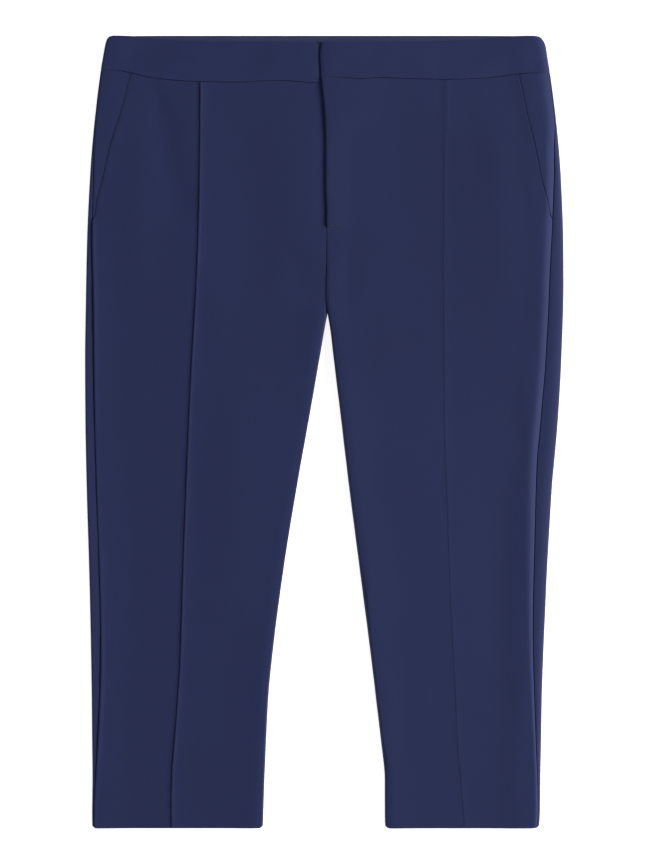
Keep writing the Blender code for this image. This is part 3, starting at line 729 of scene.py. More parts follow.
# both tucks are pressed towards the wearer's right; lean is 1 where that is outwards
tuckLook = dict(
    right=dict(lean=1.0, height=1.05, groove=0.4, steep=0.4, slope=1.5, wobble=0.12, topSteep=0.0),
    left=dict(lean=-1.0, height=0.24, groove=0.05, steep=1.1, slope=2.4, wobble=0.3, topSteep=6.0),
    topDown=(78.0, 144.0),
    uneven=((0.07, 23.0, 0.0), (0.05, 9.1, 1.0)),       # its height varies a little
    steepFoot=(0.4, 2.6),       # share and width of the gentler foot of the steep side
    slopeShare=0.35,
    slopeFoot=((0.35, 4.5), (0.3, 12.0)),
    grooveAway=0.3,
    grooveWidth=0.5,
    stray=((0.6, 31.0, 0.0),),  # a tuck is not quite straight
    fineStray=((0.4, 12.7, 0.0),),
    fine=0.3,                   # share of the fine straying, which the left tuck has only low down
    fineFrom=(560.0, 680.0),
)
tuckDrift = table(
    "down right left",
    (49, 1, -3), (78, 1, -3), (150, 1, -0.8), (400, 1, -0.6), (500, 1, 0), (600, 0.9, 1.3),
    (760, 0.8, 1.3), (832, 0.8, 0.7),
)
tuckStops = (-7.0, -5.0, -3.6, -2.6, -2.0, -1.6, -1.25, -0.95, -0.7, -0.5, -0.35, -0.2, -0.05,
             0.1, 0.3, 0.55, 0.85, 1.2, 1.6, 2.1, 2.8, 3.8, 5.2, 7.4)


def mouthOpen(down):
    return window(down, *frontLook["gapeDown"])


def mouthWall(beyond, down):
    thin = frontLook["mouthWall"] * (1.0 - ramp(down, *frontLook["mouthWallDown"]))
    return garment["cloth"] - thin * bell(np.maximum(beyond, 0.0), frontLook["mouthWallWidth"])


def frontEdgePath(half, down):
    # pocket mouth above, side seam below
    edge = mix(mouthPath(half, down), seamPath(half, down), ramp(down, *frontLook["mouthFoot"]))
    return edge + garment["seamRoom"]


def frontSpan(half, down):
    width = outerAt(half, down) - frontInner(half, down)
    return pathTo(width, outerRoll(half, down)) - innerTurn


def wobble(half, down):
    fine = ramp(down, *tuckLook["fineFrom"]) if half is left else tuckLook["fine"]
    stray = waves(down, tuckLook["stray"]) + waves(down, tuckLook["fineStray"]) * fine
    return tuckLook[half["name"]]["wobble"] * stray


def tuckLine(half, down):
    return tuckPath(half, down) + readTable(tuckDrift, half["name"], down) + wobble(half, down)


def tuckRidge(half, away, down):
    # one side of a pin tuck stands steep over a narrow groove, the other slopes away
    look = tuckLook[half["name"]]
    away = away * look["lean"]
    steepWidth = look["steep"] + look["topSteep"] * (1.0 - ramp(down, *tuckLook["topDown"]))
    height = look["height"] * (1.0 + waves(down, tuckLook["uneven"], 1.0))
    share, width = tuckLook["steepFoot"]
    steep = (1.0 - share) * (1.0 - ease(-away / steepWidth)) + share * bell(away, width)
    slope = tuckLook["slopeShare"] * bell(away, look["slope"])
    for share, width in tuckLook["slopeFoot"]:
        slope = slope + share * bell(away, width)
    groove = bell(away + steepWidth + tuckLook["grooveAway"], tuckLook["grooveWidth"])
    return np.where(away < 0.0, steep, slope) * height - look["groove"] * groove


def frontRelief(half, strips, down):
    # edges, tuck, ridges and puckers, as a depth under the plain layer
    look, side = frontLook, half["name"]
    flat, turn = strips
    path = joinedUp(strips, "path")
    edge = alone(strips, flat, flat["path"] - frontEdgePath(half, flat["down"]))
    tuck = alone(strips, flat, flat["path"] - tuckLine(half, flat["down"]))
    inner = alone(strips, turn, turn["path"])
    waist = down - down[:1]
    belowFly, belowMouth = ramp(down, *look["flyFoot"]), ramp(down, *look["mouthFoot"])
    innerWidth = mix(look["flyLip"], look["centreLip"][side], belowFly)
    innerWidth = mix(innerWidth, look["forkLip"][side], window(down, *look["forkDown"]))
    edgeWidth = unevenly(mix(look["mouthLip"][side], look["sideLip"], belowMouth), down, 0.3)
    sink = np.maximum.reduce([
        mix(look["mouthDepth"][side], look["sideDepth"], belowMouth) * lip(edge, edgeWidth),
        edgeDepth["inner"] * lip(inner, innerWidth),
        edgeDepth["waist"] * lip(waist, unevenly(look["seamLip"], path, 1.1)),
        edgeDepth["hem"] * lip(garment["length"] - down, edgeDepth["hemLip"]),
    ])
    away = np.maximum(edge, 0.0) / look["ridgeWidth"][side]
    uneven = 1.0 + waves(down, look["ridgeWaves"], 1.0)
    thinned = 1.0 - ramp(down, *look["thinDown"])
    raised = tuckRidge(half, tuck, down)
    raised += look["ridge"][side] * away * np.exp(1.0 - away) * uneven * belowMouth
    raised += look["mouthGape"][side] * mouthOpen(down) * bell(edge, look["gapeWidth"])
    raised -= look["mouthThin"][side] * thinned * bell(edge, look["thinWidth"])
    raised -= look["flyRound"] * (1.0 - belowFly) * bell(inner, look["flyRoundWidth"])
    lines = dict(edge=(edge, down), inner=(inner, down), waist=(waist, path), tuck=(np.abs(tuck), down))
    for name, (width, share, phase) in look["puckers"].items():
        raised += pucker(*lines[name], width, look["puckerHeight"] * share, phase)
    return drawnIn(garment["cloth"], sink, raised)


def makeFront(half):
    edge, tuck, end = (partial(line, half) for line in (frontEdgePath, tuckLine, frontSpan))
    columns = beside(edge, edgeStops)
    columns += between(edge, tuck, frontLook["columnsBeforeTuck"], edgeStops[-1], tuckStops[0])
    columns += beside(tuck, tuckStops)
    columns += between(tuck, end, frontLook["columnsAfterTuck"], tuckStops[-1])
    flat = makeStrip(half, frontLayer, "outer", columns)
    turn = makeStrip(half, frontLayer, "inner", roundInnerFold())
    extra = frontLook["footRows"] + garment["hemRows"]
    rows = placeRows(waistSeam["row"], frontLook["rows"], garment["length"], extra)
    down = settle((flat, turn), legRows, rows)
    thin = garment["cloth"] - mouthWall(flat["path"] - mouthPath(half, flat["down"]), flat["down"])
    wall = legWall(down) - alone((flat, turn), flat, thin, 0.0)
    sunk = frontRelief(half, (flat, turn), down)
    faces = layFaces((flat, turn), wall, sunk, garment["hemCloth"])
    width = np.hstack((flat["path"], end(turn["down"]) + turnStops[0] - turn["path"]))
    side = half["name"]
    facts = (f"front_{side}_leg", "navy_cloth", [side + "Back", side + "HipPiece"])
    return makeSheet(side + "Front", faces, width, down, half is left, facts)


backLook = dict(
    columnsTop=16,
    columnsUnder=42,
    rows=150,
    # columns from the side seam up to the outer fold, and round it
    wraps=(1.0, 0.985, 0.96, 0.93, 0.89, 0.84, 0.78),
    turns=(0.0, 0.12, 0.25, 0.38, 0.5, 0.63, 0.75, 0.88, 1.0),
    seamLip=1.1,
    sideLip=0.6,
    sideDepth=0.35,
    pucker=(4.0, 0.06, 3.1),        # width, height, phase
)


def backEdgePath(half, down):
    return seamPath(half, down) - garment["seamRoom"]


def backSpan(half, down):
    return pathTo(outerAt(half, down) - backInner(half, down), legTube["roll"]) - innerTurn


def makeBack(half):
    # from the side seam round the outer fold, and under the leg to the centre seam and inner fold
    quarter = legTube["roll"] * math.pi / 2.0
    first = backLook["wraps"]
    shares = [*first, *spread(first[-1], 0.0, backLook["columnsTop"])]
    wrapped = [lambda down, share=share: backEdgePath(half, down) * share for share in shares]
    columns = beside(atFold, [quarter * turn for turn in backLook["turns"]])
    columns += between(atFold, partial(backSpan, half), backLook["columnsUnder"], quarter)
    top = makeStrip(half, frontLayer, "outer", wrapped)
    under = makeStrip(half, backLayer, "outer", columns)
    turn = makeStrip(half, backLayer, "inner", roundInnerFold())
    strips = (top, under, turn)
    down = settle(strips, legRows, placeRows(waistSeam["row"], backLook["rows"], garment["length"],
                                             garment["hemRows"]))
    end = backEdgePath(half, top["down"])
    fromSeam = alone(strips, top, end - top["path"])
    seamWidth = alone(strips, top, np.minimum(backLook["sideLip"], end * 0.5), 1.0)
    sink = np.maximum.reduce([
        backLook["sideDepth"] * lip(fromSeam, seamWidth),
        edgeDepth["inner"] * lip(alone(strips, turn, turn["path"]), backLook["seamLip"]),
        edgeDepth["waist"] * lip(down - down[:1], backLook["seamLip"]),
        edgeDepth["hem"] * lip(garment["length"] - down, edgeDepth["hemLip"]),
    ])
    ripple = pucker(fromSeam, down, *backLook["pucker"])
    faces = layFaces(strips, legWall(down), drawnIn(garment["cloth"], sink, ripple))
    turned = backSpan(half, turn["down"]) + turnStops[0] - turn["path"]
    width = np.hstack((-top["path"], under["path"], turned))
    facts = (f"back_{half['name']}_leg", "navy_cloth", ["floor"])
    return makeSheet(half["name"] + "Back", faces, width, down, half is right, facts)


hipLook = dict(
    foot=188.0,
    footFrom=120.0,     # below this the rows bend to follow the edge of the front
    short=0.5,
    underMouth=18.6,    # how far it runs on under the front
    columnsOpen=24,
    columnsUnder=10,
    rows=48,
    seamLip=1.1,
    dip=dict(right=1.0, left=1.2),
    reach=0.1,
    lower=dict(right=0.42, left=0.05),
    clear=0.08,         # room under the front at the pocket mouth
    room=dict(right=0.12, left=0.0),
    ridge=dict(right=0.3, left=0.0),
    ridgeWidth=2.0,
    ridgeDown=(42.0, 92.0),
    ridgeEnd=6.0,       # the ridge runs out over this width before the mouth
)


def hipLayer(half, side, path, down, depth):
    # level with the back at the side seam, it dips under the front just before the pocket mouth
    across, height = frontLayer(half, side, path, down, depth)
    name, mouth = half["name"], mouthPath(half, down)
    under = mouth - hipLook["reach"]
    dip = np.minimum(hipLook["dip"][name], under - seamPath(half, down))
    lower = hipLook["lower"][name]
    room = hipLook["clear"] + hipLook["room"][name] * mouthOpen(down)
    sunk = (mouthWall(path - mouth, down) + room - lower) * ease((path - under + dip) / dip)
    return across, height - (sunk + lower) * rolled(path, depth, outerRoll(half, down))[1]


def hipRows(strip, across, rows):
    # straight above, and beside the edge of the front at the foot
    half, foot = strip["half"], hipLook["foot"]
    first, last = seamPath(half, foot), mouthPath(half, foot)
    share = np.clip((pathAt(strip, np.full(across.shape, foot)) - first) / (last - first), 0.0, 1.0)
    # the place where the edge of the front has come this far
    reached = 0.5 - np.sin(np.arcsin(2.0 * share - 1.0) / 3.0)
    lower = mix(0.0, frontLook["mouthFoot"][1] - foot, reached) - hipLook["short"]
    return legRows(strip, across, rows) + lower * ramp(rows, hipLook["footFrom"], foot)


def makeHip(half):
    def edge(down):
        return seamPath(half, down) + garment["seamRoom"]

    def mouth(down):
        return mouthPath(half, down) - 2.0 * garment["gap"]

    side, first = half["name"], waistSeam["row"]
    end = hipLook["underMouth"]
    columns = beside(edge, hipStops)
    columns += between(edge, mouth, hipLook["columnsOpen"], hipStops[-1])
    columns += beside(mouth, [0.0, *spread(0.0, end, hipLook["columnsUnder"]), end])
    hip = makeStrip(half, hipLayer, "outer", columns)
    rows = [first + stop for stop in rowStops]
    rows += spread(rows[-1], hipLook["foot"], hipLook["rows"]) + [hipLook["foot"]]
    down = settle([hip], hipRows, rows)
    fromEdge = hip["path"] - edge(down)
    sink = np.maximum(edgeDepth["inner"] * lip(fromEdge, hipLook["seamLip"]),
                      edgeDepth["waist"] * lip(down - down[:1], hipLook["seamLip"]))
    away = fromEdge / hipLook["ridgeWidth"]
    ridge = hipLook["ridge"][side] * away * np.exp(1.0 - away) * ramp(down, *hipLook["ridgeDown"])
    ridge *= ease((mouth(down) - hip["path"]) / hipLook["ridgeEnd"])
    faces = layFaces([hip], garment["cloth"] + 0.0 * down, garment["cloth"] * sink)
    faces = [(across, height + ridge) for across, height in faces]
    facts = (f"hip_piece_{side}", "navy_cloth", [side + "Back"])
    return makeSheet(side + "HipPiece", faces, hip["path"], down, half is left, facts)


bandTube = dict(roll=4.5, fold=6.6, loft=5.3, fade=26.0, frontRoll=dict(right=2.4, left=10.0))
bandLook = dict(
    wall=1.3,
    columns=92,
    flatFrom=6.4,       # the columns between are spread evenly from here
    flatTo=6.0,         # to here, before the free edge
    rows=16,
    topLip=3.2,
    topDepth=0.5,
    topRound=0.35,      # what the inner face gives way at the folded top
    seamLip=2.6,
    seamDepth=0.45,
    edgeLip=0.9,
    edgeDepth=0.5,
    edgeRound=0.45,
    edgeWidth=2.4,
    pucker=(6.0, 0.09, 1.3),    # width, height, phase
    waveHeight=0.16,    # of the soft waves in the front waistband
    waveLength=(29.0, 15.0),    # across and down
    waveFoot=12.0,
    rowEnds=(0.0, 0.006, 0.014, 0.026, 0.045, 0.07, 0.1, 0.14),
    edgeColumns=(3.6, 2.6, 1.8, 1.3, 0.9, 0.6, 0.35, 0.18, 0.06, 0.0),
    swell=0.8,          # share of the legs' swelling beside the outer folds
    foldsFrom=(4.0, 16.0),
    curl=((2.3, 6.0, 6.0), (1.5, 2.0, 2.6)),    # height, place and width: the back's top curls up
    curlFrom=(14.0, 54.0),
    curlFaces=(0.75, 1.0),      # share of it in the outer and the inner face
    turned=240.0,       # the weave of the back is counted from this far out
    facingUp=0.3,       # faces of the back that look up more than this are its inside
)
bandLap = dict(under=30.0, lift=1.25, liftAcross=(14.0, 92.0), sink=1.15, sinkAcross=(-11.0, 3.0))


def frontBandLayer(half, side, path, down, depth):
    if side == "outer":
        across, lift = fromOuterFold(half, bandTube["frontRoll"][half["name"]], path, down, depth)
    else:
        inner = -bandLap["under"] if half is right else flyAcross(down)
        across, lift = half["sign"] * (inner + path), 1.0
    fromOuter = outerAt(half, down) - half["sign"] * across
    rise = sideRise(bandTube, fromOuter) + sideSwell(half, fromOuter) * bandLook["swell"]
    rise = rise + foldHeight(bandFolds, across, down) * ramp(fromOuter, *bandLook["foldsFrom"])
    middle = half["foldMiddle"]
    height = middle + (bandTube["loft"] + rise - depth - middle) * lift
    if half is left:
        return across, height + bandLap["lift"] * (1.0 - ramp(across, *bandLap["liftAcross"]))
    return across, height - bandLap["sink"] * ramp(across, *bandLap["sinkAcross"])


def backBandLayer(half, side, path, down, depth):
    across, lift = fromOuterFold(half, bandTube["roll"], path, down, depth)
    return across, half["foldMiddle"] - (half["foldMiddle"] - depth) * lift


def bandShares():
    ends = bandLook["rowEnds"]
    middle = spread(ends[-1], 1.0 - ends[-1], bandLook["rows"])
    return [*ends, *middle, *(1.0 - share for share in reversed(ends))]


def bandRows(strip, across, shares):
    # from the top edge to the waist seam
    top, seam = 0.0, backBandSeam
    if strip["layer"] is frontBandLayer:
        top, seam = readTable(frontBandTop, "down", across), strip["half"]["bandSeam"]
    return mix(top, readTable(seam, "down", across) - waistRoom(across, 3.0), shares)


def bandSink(across, down, edge):
    # round at the folded top edge, drawn in at the seam
    seamLip = unevenly(bandLook["seamLip"], across, 0.7)
    return np.maximum.reduce([
        bandLook["topDepth"] * lip(down - down[:1], bandLook["topLip"]),
        bandLook["seamDepth"] * lip(down[-1:] - down, seamLip),
        bandLook["edgeDepth"] * lip(edge, bandLook["edgeLip"]),
    ])


def bandWall(down):
    return bandLook["wall"] * (1.0 - bandLook["topRound"] * lip(down - down[:1], bandLook["topLip"]))


def roundOuterFold():
    return beside(atFold, [garment["roundGap"] + stop for stop in foldStops])


def makeFrontBand(half):
    side, inner = half["name"], -bandLap["under"] if half is right else 0.0

    def end(down):
        return pathTo(outerAt(half, down) - inner - bandLook["flatTo"], bandTube["frontRoll"][side])

    columns = roundOuterFold() + between(atFold, end, bandLook["columns"], bandLook["flatFrom"])
    flat = makeStrip(half, frontBandLayer, "outer", columns)
    free = makeStrip(half, frontBandLayer, "inner", beside(atFold, bandLook["edgeColumns"]))
    down = settle((flat, free), bandRows, bandShares())
    across = np.hstack([laid(part, 0.0)[0] for part in (flat, free)])
    edge, foot = alone((flat, free), free, free["path"]), down[-1:] - down
    raised = pucker(foot, across, *bandLook["pucker"])
    raised -= bandLook["edgeRound"] * bell(edge, bandLook["edgeWidth"])
    long, short = bandLook["waveLength"]
    waved = np.sin(across / long + down / short) * ease(foot / bandLook["waveFoot"])
    raised += bandLook["waveHeight"] * waved
    sunk = drawnIn(bandLook["wall"], bandSink(across, down, edge), raised)
    faces = layFaces((flat, free), bandWall(down), sunk, bandLook["wall"])
    width = outerAt(half, down) - half["sign"] * across
    rests = ["backBand"] if half is right else ["rightFrontBand", "backBand"]
    facts = (f"waistband_front_{side}", "waistband_cloth", rests)
    return makeSheet(side + "FrontBand", faces, width, down, half is left, facts)


def makeBackBand():
    quarter = bandTube["roll"] * math.pi / 2.0
    strips = []
    for half in (right, left):
        end = partial(outerAt, half)
        columns = roundOuterFold() + between(atFold, end, bandLook["columns"] // 2, quarter)
        if half is left:
            # the right strip ends just before the middle, where the left one begins
            columns = [end] + columns[::-1]
        strips.append(makeStrip(half, backBandLayer, "outer", columns))
    down = settle(strips, bandRows, bandShares())
    across = np.hstack([laid(part, 0.0)[0] for part in strips])
    curl = sum(height * bell(down - place, width) for height, place, width in bandLook["curl"])
    curl = curl * ramp(outerAt(left, down) - np.abs(across), *bandLook["curlFrom"])
    sunk = bandLook["wall"] * bandSink(across, down, np.full(down.shape, far))
    faces = [(place, height + curl * share) for (place, height), share in
             zip(layFaces(strips, bandWall(down), sunk), bandLook["curlFaces"])]
    facts = ("waistband_back", "waistband_cloth", ["floor"])
    return makeSheet("backBand", faces, across + bandLook["turned"], down, True, facts)


print("shaping the cloth")
sheets = []
for half in (right, left):
    sheets += [makeFront(half), makeBack(half), makeHip(half), makeFrontBand(half)]
sheets.append(makeBackBand())
cloths = {piece.name: piece for piece, _ in sheets}
print("cloth triangles", sum(2 * len(piece.data.polygons) for piece in cloths.values()))


# the zip and the hook lie inside the overlap of the fly
zipLook = dict(
    across=16.3,
    start=52.0,
    end=192.0,
    height=3.5,
    heightFoot=3.1,
    tapeFrom=0.8,           # from the middle of the chain to the tape's edge
    tapeTo=11.8,
    tapeWall=0.5,
    tapeThin=(0.35, 0.6),       # its woven edges are thinner, over this width
    tapeColumns=(0.0, 0.03, 0.08, 0.2, 0.4, 0.6, 0.8, 0.92, 0.97, 1.0),
    tapeEnds=(0.0, 0.25, 0.7, 1.5),
    tapeRows=46,
    ripple=(0.07, 6.1),         # height and length of its ripples
    rippleFrom=(3.0, 9.0),
    tooth=(2.5, 0.95, 1.3),
    toothBevel=0.22,
    toothAside=0.75,
    toothPitch=2.6,
    toothStart=8.0,
    toothless=12.0,         # length of tape that carries no teeth
    stop=(4.6, 2.2, 1.4),
    stopBevel=0.3,
    stopRoom=3.4,
    sliderDown=60.0,
    slider=(8.0, 10.5, 1.6),
    sliderBevel=0.45,
    sliderShare=0.62,       # the wide and the narrow part overlap in the middle
    throat=0.68,
    bridge=(2.2, 5.25, 0.5),
    bridgeBevel=0.12,
    bridgeUp=0.1,
    tab=(4.4, 15.0, 0.4),
    tabBevel=0.14,
    tabUp=0.3,
    tabBelow=1.0,
)


def zipHeight(down):
    return mix(zipLook["height"], zipLook["heightFoot"], ramp(down, zipLook["start"], zipLook["end"]))


def worldY(down):
    return (garment["length"] / 2.0 - down) * mm


def makeBlock(name, size, across, down, height, bevel):
    # a small bevelled block, its middle at the place given
    bpy.ops.object.select_all(action="DESELECT")
    bpy.ops.mesh.primitive_cube_add(size=1.0, location=(across * mm, worldY(down), height * mm),
                                    scale=[side * mm for side in size])
    piece = bpy.context.object
    piece.name = piece.data.name = name
    bpy.ops.object.transform_apply(location=True, rotation=True, scale=True)
    edge = piece.modifiers.new("edge", "BEVEL")
    edge.width = bevel * mm
    edge.segments = 2
    bpy.ops.object.modifier_apply(modifier=edge.name)
    return piece


def repeat(piece, count, step):
    bpy.context.view_layer.objects.active = piece
    row = piece.modifiers.new("row", "ARRAY")
    row.count = count
    row.use_relative_offset = False
    row.use_constant_offset = True
    row.constant_offset_displace = [part * mm for part in step]
    bpy.ops.object.modifier_apply(modifier=row.name)


def joined(pieces):
    bpy.ops.object.select_all(action="DESELECT")
    for piece in pieces:
        piece.select_set(True)
    bpy.context.view_layer.objects.active = pieces[0]
    bpy.ops.object.join()
    bpy.ops.object.shade_smooth_by_angle(angle=math.radians(40.0))
    bpy.ops.object.select_all(action="DESELECT")
    return pieces[0]


def points(piece):
    flat = np.zeros(len(piece.data.vertices) * 3, np.float32)
    piece.data.vertices.foreach_get("co", flat)
    return flat.reshape(-1, 3)


def setPoints(piece, places):
    piece.data.vertices.foreach_set("co", places.astype(np.float32).ravel())
    piece.data.update()


def makeTape(sign):
    # a tape with thin woven edges, a little rippled
    ends, long = zipLook["tapeEnds"], zipLook["end"] - zipLook["start"]
    rows = [*ends, *spread(ends[-1], long - ends[-1], zipLook["tapeRows"])]
    rows += [long - end for end in reversed(ends)]
    aside = mix(zipLook["tapeFrom"], zipLook["tapeTo"], np.array(zipLook["tapeColumns"]))
    aside, down = np.meshgrid(aside, np.array(rows) + zipLook["start"])
    across = zipLook["across"] + sign * aside
    edge = np.minimum(aside - zipLook["tapeFrom"], zipLook["tapeTo"] - aside)
    thin, width = zipLook["tapeThin"]
    wall = (0.5 - thin * lip(edge, width)) * zipLook["tapeWall"]
    height, length = zipLook["ripple"]
    ripple = height * np.sin(down / length + sign) * ramp(aside, *zipLook["rippleFrom"])
    middle = zipHeight(down) + ripple
    faces = [(across, middle + wall), (across, middle - wall)]
    name = "zipTapeLeft" if sign > 0 else "zipTapeRight"
    facts = ("fly_zip", "zip_tape", ["rightBack", "leftBack"])
    return makeSheet(name, faces, across, down, sign < 0, facts)


def makeTeeth():
    rows = []
    count = int((zipLook["end"] - zipLook["start"] - zipLook["toothless"]) / zipLook["toothPitch"])
    for sign, shift in ((1.0, 0.5), (-1.0, 0.0)):
        down = zipLook["start"] + zipLook["toothStart"] + shift * zipLook["toothPitch"]
        across = zipLook["across"] + sign * zipLook["toothAside"]
        rows.append(makeBlock("zipTeeth", zipLook["tooth"], across, down, 0.0, zipLook["toothBevel"]))
        repeat(rows[-1], count, (0.0, -zipLook["toothPitch"], 0.0))
    rows.append(makeBlock("stop", zipLook["stop"], zipLook["across"],
                          zipLook["end"] - zipLook["stopRoom"], 0.0, zipLook["stopBevel"]))
    teeth = joined(rows)
    places = points(teeth)
    places[:, 2] += zipHeight(garment["length"] / 2.0 - places[:, 1] / mm) * mm
    setPoints(teeth, places)
    return teeth


def makeSlider():
    across, down = zipLook["across"], zipLook["sliderDown"]
    middle = float(zipHeight(down))
    wide, long, thick = zipLook["slider"]
    top, part = middle + thick / 2.0, long * zipLook["sliderShare"]
    aside = (long - part) / 2.0
    tabDown = down + zipLook["tab"][1] / 2.0 + zipLook["tabBelow"]
    body, throat = (wide, part, thick), (wide * zipLook["throat"], part, thick)
    bevel = zipLook["sliderBevel"]
    return joined([
        makeBlock("zipSlider", body, across, down - aside, middle, bevel),
        makeBlock("throat", throat, across, down + aside, middle, bevel),
        makeBlock("bridge", zipLook["bridge"], across, down, top + zipLook["bridgeUp"],
                  zipLook["bridgeBevel"]),
        makeBlock("tab", zipLook["tab"], across, tabDown, top + zipLook["tabUp"], zipLook["tabBevel"]),
    ])


hookLook = dict(
    across=9.5,             # middle of the round nose
    down=26.0,
    bottom=4.25,
    radius=4.5,
    straight=11.5,          # from there to the straight end
    thick=0.5,
    hole=0.8,
    holes=((-1.0, -2.6), (-1.0, 2.6), (9.0, -2.6), (9.0, 2.6)),
    drill=3.0,              # length of the tool that cuts them
    tongue=(8.0, 3.2, 0.3),
    tongueFrom=2.5,
    tongueUp=0.02,
    tongueBevel=0.12,
)


def makeHook():
    # a flat plate with one round nose, a raised tongue and four holes for the thread
    bottom, thick = hookLook["bottom"], hookLook["thick"]
    x, y, z = hookLook["across"] * mm, worldY(hookLook["down"]), (bottom + thick / 2.0) * mm
    bpy.ops.mesh.primitive_cylinder_add(vertices=48, radius=hookLook["radius"] * mm,
                                        depth=thick * mm, location=(x, y, z))
    plate = bpy.context.object
    plate.name = plate.data.name = "waistHook"
    bpy.ops.object.transform_apply(location=True, rotation=True, scale=True)
    places = points(plate)
    places[places[:, 0] > x + 1e-6, 0] = x + hookLook["straight"] * mm
    setPoints(plate, places)
    for across, down in hookLook["holes"]:
        bpy.ops.mesh.primitive_cylinder_add(vertices=20, radius=hookLook["hole"] * mm,
                                            depth=hookLook["drill"] * mm,
                                            location=(x + across * mm, y + down * mm, z))
        cutter = bpy.context.object
        bpy.ops.object.select_all(action="DESELECT")
        bpy.context.view_layer.objects.active = plate
        cut = plate.modifiers.new("hole", "BOOLEAN")
        cut.operation = "DIFFERENCE"
        cut.solver = "EXACT"
        cut.object = cutter
        bpy.ops.object.modifier_apply(modifier=cut.name)
        bpy.data.objects.remove(cutter)
    tongue = makeBlock("tongue", hookLook["tongue"], hookLook["across"] + hookLook["tongueFrom"],
                       hookLook["down"], bottom + thick + hookLook["tongueUp"],
                       hookLook["tongueBevel"])
    return joined([plate, tongue])


print("making zip and hook")
sheets += [makeTape(-1.0), makeTape(1.0)]
hardware = [(makeTeeth(), "fly_zip", "zip_tape"), (makeSlider(), "fly_zip", "hook_steel"),
            (makeHook(), "waist_hook", "hook_steel")]


# the sewing that shows: a bar tack at the foot of the fly, stitches along the tucks
sewing = dict(
    tackDown=199.3,
    tackAcross=(5.4, 16.9),
    tackCount=27,
    tackThread=(0.46, 2.3, 0.42),
    tackSlant=0.08,
    tackUneven=(0.12, 2.3),     # height and turn of the waver in its row
    tuckStart=52.0,
    tuckPitch=2.6,
    tuckThread=(0.30, 1.75, 0.20),
    tuckEnd=3.0,        # the stitches along the tucks end this far above the hem
    tuckBeside=1.25,
    sunk=0.2,           # a stitch lies with its middle this share of its height above the cloth
    above=30.0,         # the cloth is looked for from this height
)


def topOf(cloth, across, down):
    return cloth.ray_cast((across * mm, worldY(down), sewing["above"] * mm), (0.0, 0.0, -1.0))[1].z


def makeStitches(name, thread, cloth, places, slant=0.0):
    # a row of equal stitches, each moved to its own place on the cloth
    bpy.ops.object.select_all(action="DESELECT")
    bpy.ops.mesh.primitive_uv_sphere_add(segments=8, ring_count=6, radius=0.5 * mm, scale=thread)
    piece = bpy.context.object
    piece.name = piece.data.name = name
    bpy.ops.object.transform_apply(location=True, rotation=True, scale=True)
    repeat(piece, len(places), (0.0, 0.0, 0.0))
    spots = points(piece).reshape(len(places), -1, 3)
    for index, (across, down) in enumerate(places):
        spots[index, :, 0] += spots[index, :, 1] * slant * (-1.0) ** index
        height = topOf(cloth, across, down) + thread[2] * sewing["sunk"] * mm
        spots[index] += np.array((across * mm, worldY(down), height))
    setPoints(piece, spots.reshape(-1, 3))
    bpy.ops.object.shade_smooth()
    bpy.ops.object.select_all(action="DESELECT")
    return piece


def makeTuckStitches(half):
    end = garment["length"] - sewing["tuckEnd"]
    down = np.arange(sewing["tuckStart"], end, sewing["tuckPitch"])
    path = tuckLine(half, down) + sewing["tuckBeside"] * tuckLook[half["name"]]["lean"]
    across = frontLayer(half, "outer", path, down, 0.0)[0]
    return makeStitches(half["name"] + "TuckStitches", sewing["tuckThread"],
                        cloths[half["name"] + "Front"], list(zip(across, down)))


def makeBarTack():
    height, turn = sewing["tackUneven"]
    places = [(across, sewing["tackDown"] + height * math.sin(across * turn))
              for across in np.linspace(*sewing["tackAcross"], sewing["tackCount"])]
    return makeStitches("flyBarTack", sewing["tackThread"], cloths["leftFront"], places,
                        sewing["tackSlant"])


bpy.context.view_layer.update()
barTack, rightStitches, leftStitches = makeBarTack(), makeTuckStitches(right), makeTuckStitches(left)
threads = [barTack, rightStitches, leftStitches]
print("sewn", sum(len(piece.data.polygons) for piece in threads), "faces of thread")


class Value:
    # a socket that can be added, subtracted and multiplied
    def __init__(self, finish, socket):
        self.finish = finish
        self.socket = socket

    def work(self, operation, *inputs):
        return self.finish.value("ShaderNodeMath", 0, {"operation": operation}, dict(enumerate(inputs)))

    def __add__(self, other):
        return self.work("ADD", self, other)

    def __radd__(self, other):
        return self.work("ADD", other, self)

    def __sub__(self, other):
        return self.work("SUBTRACT", self, other)

    def __rsub__(self, other):
        return self.work("SUBTRACT", other, self)

    def __mul__(self, other):
        return self.work("MULTIPLY", self, other)

    def __rmul__(self, other):
        return self.work("MULTIPLY", other, self)

    def below(self, limit):
        return self.work("LESS_THAN", self, limit)

    def above(self, limit):
        return self.work("GREATER_THAN", self, limit)

    def sine(self):
        return self.work("SINE", self)


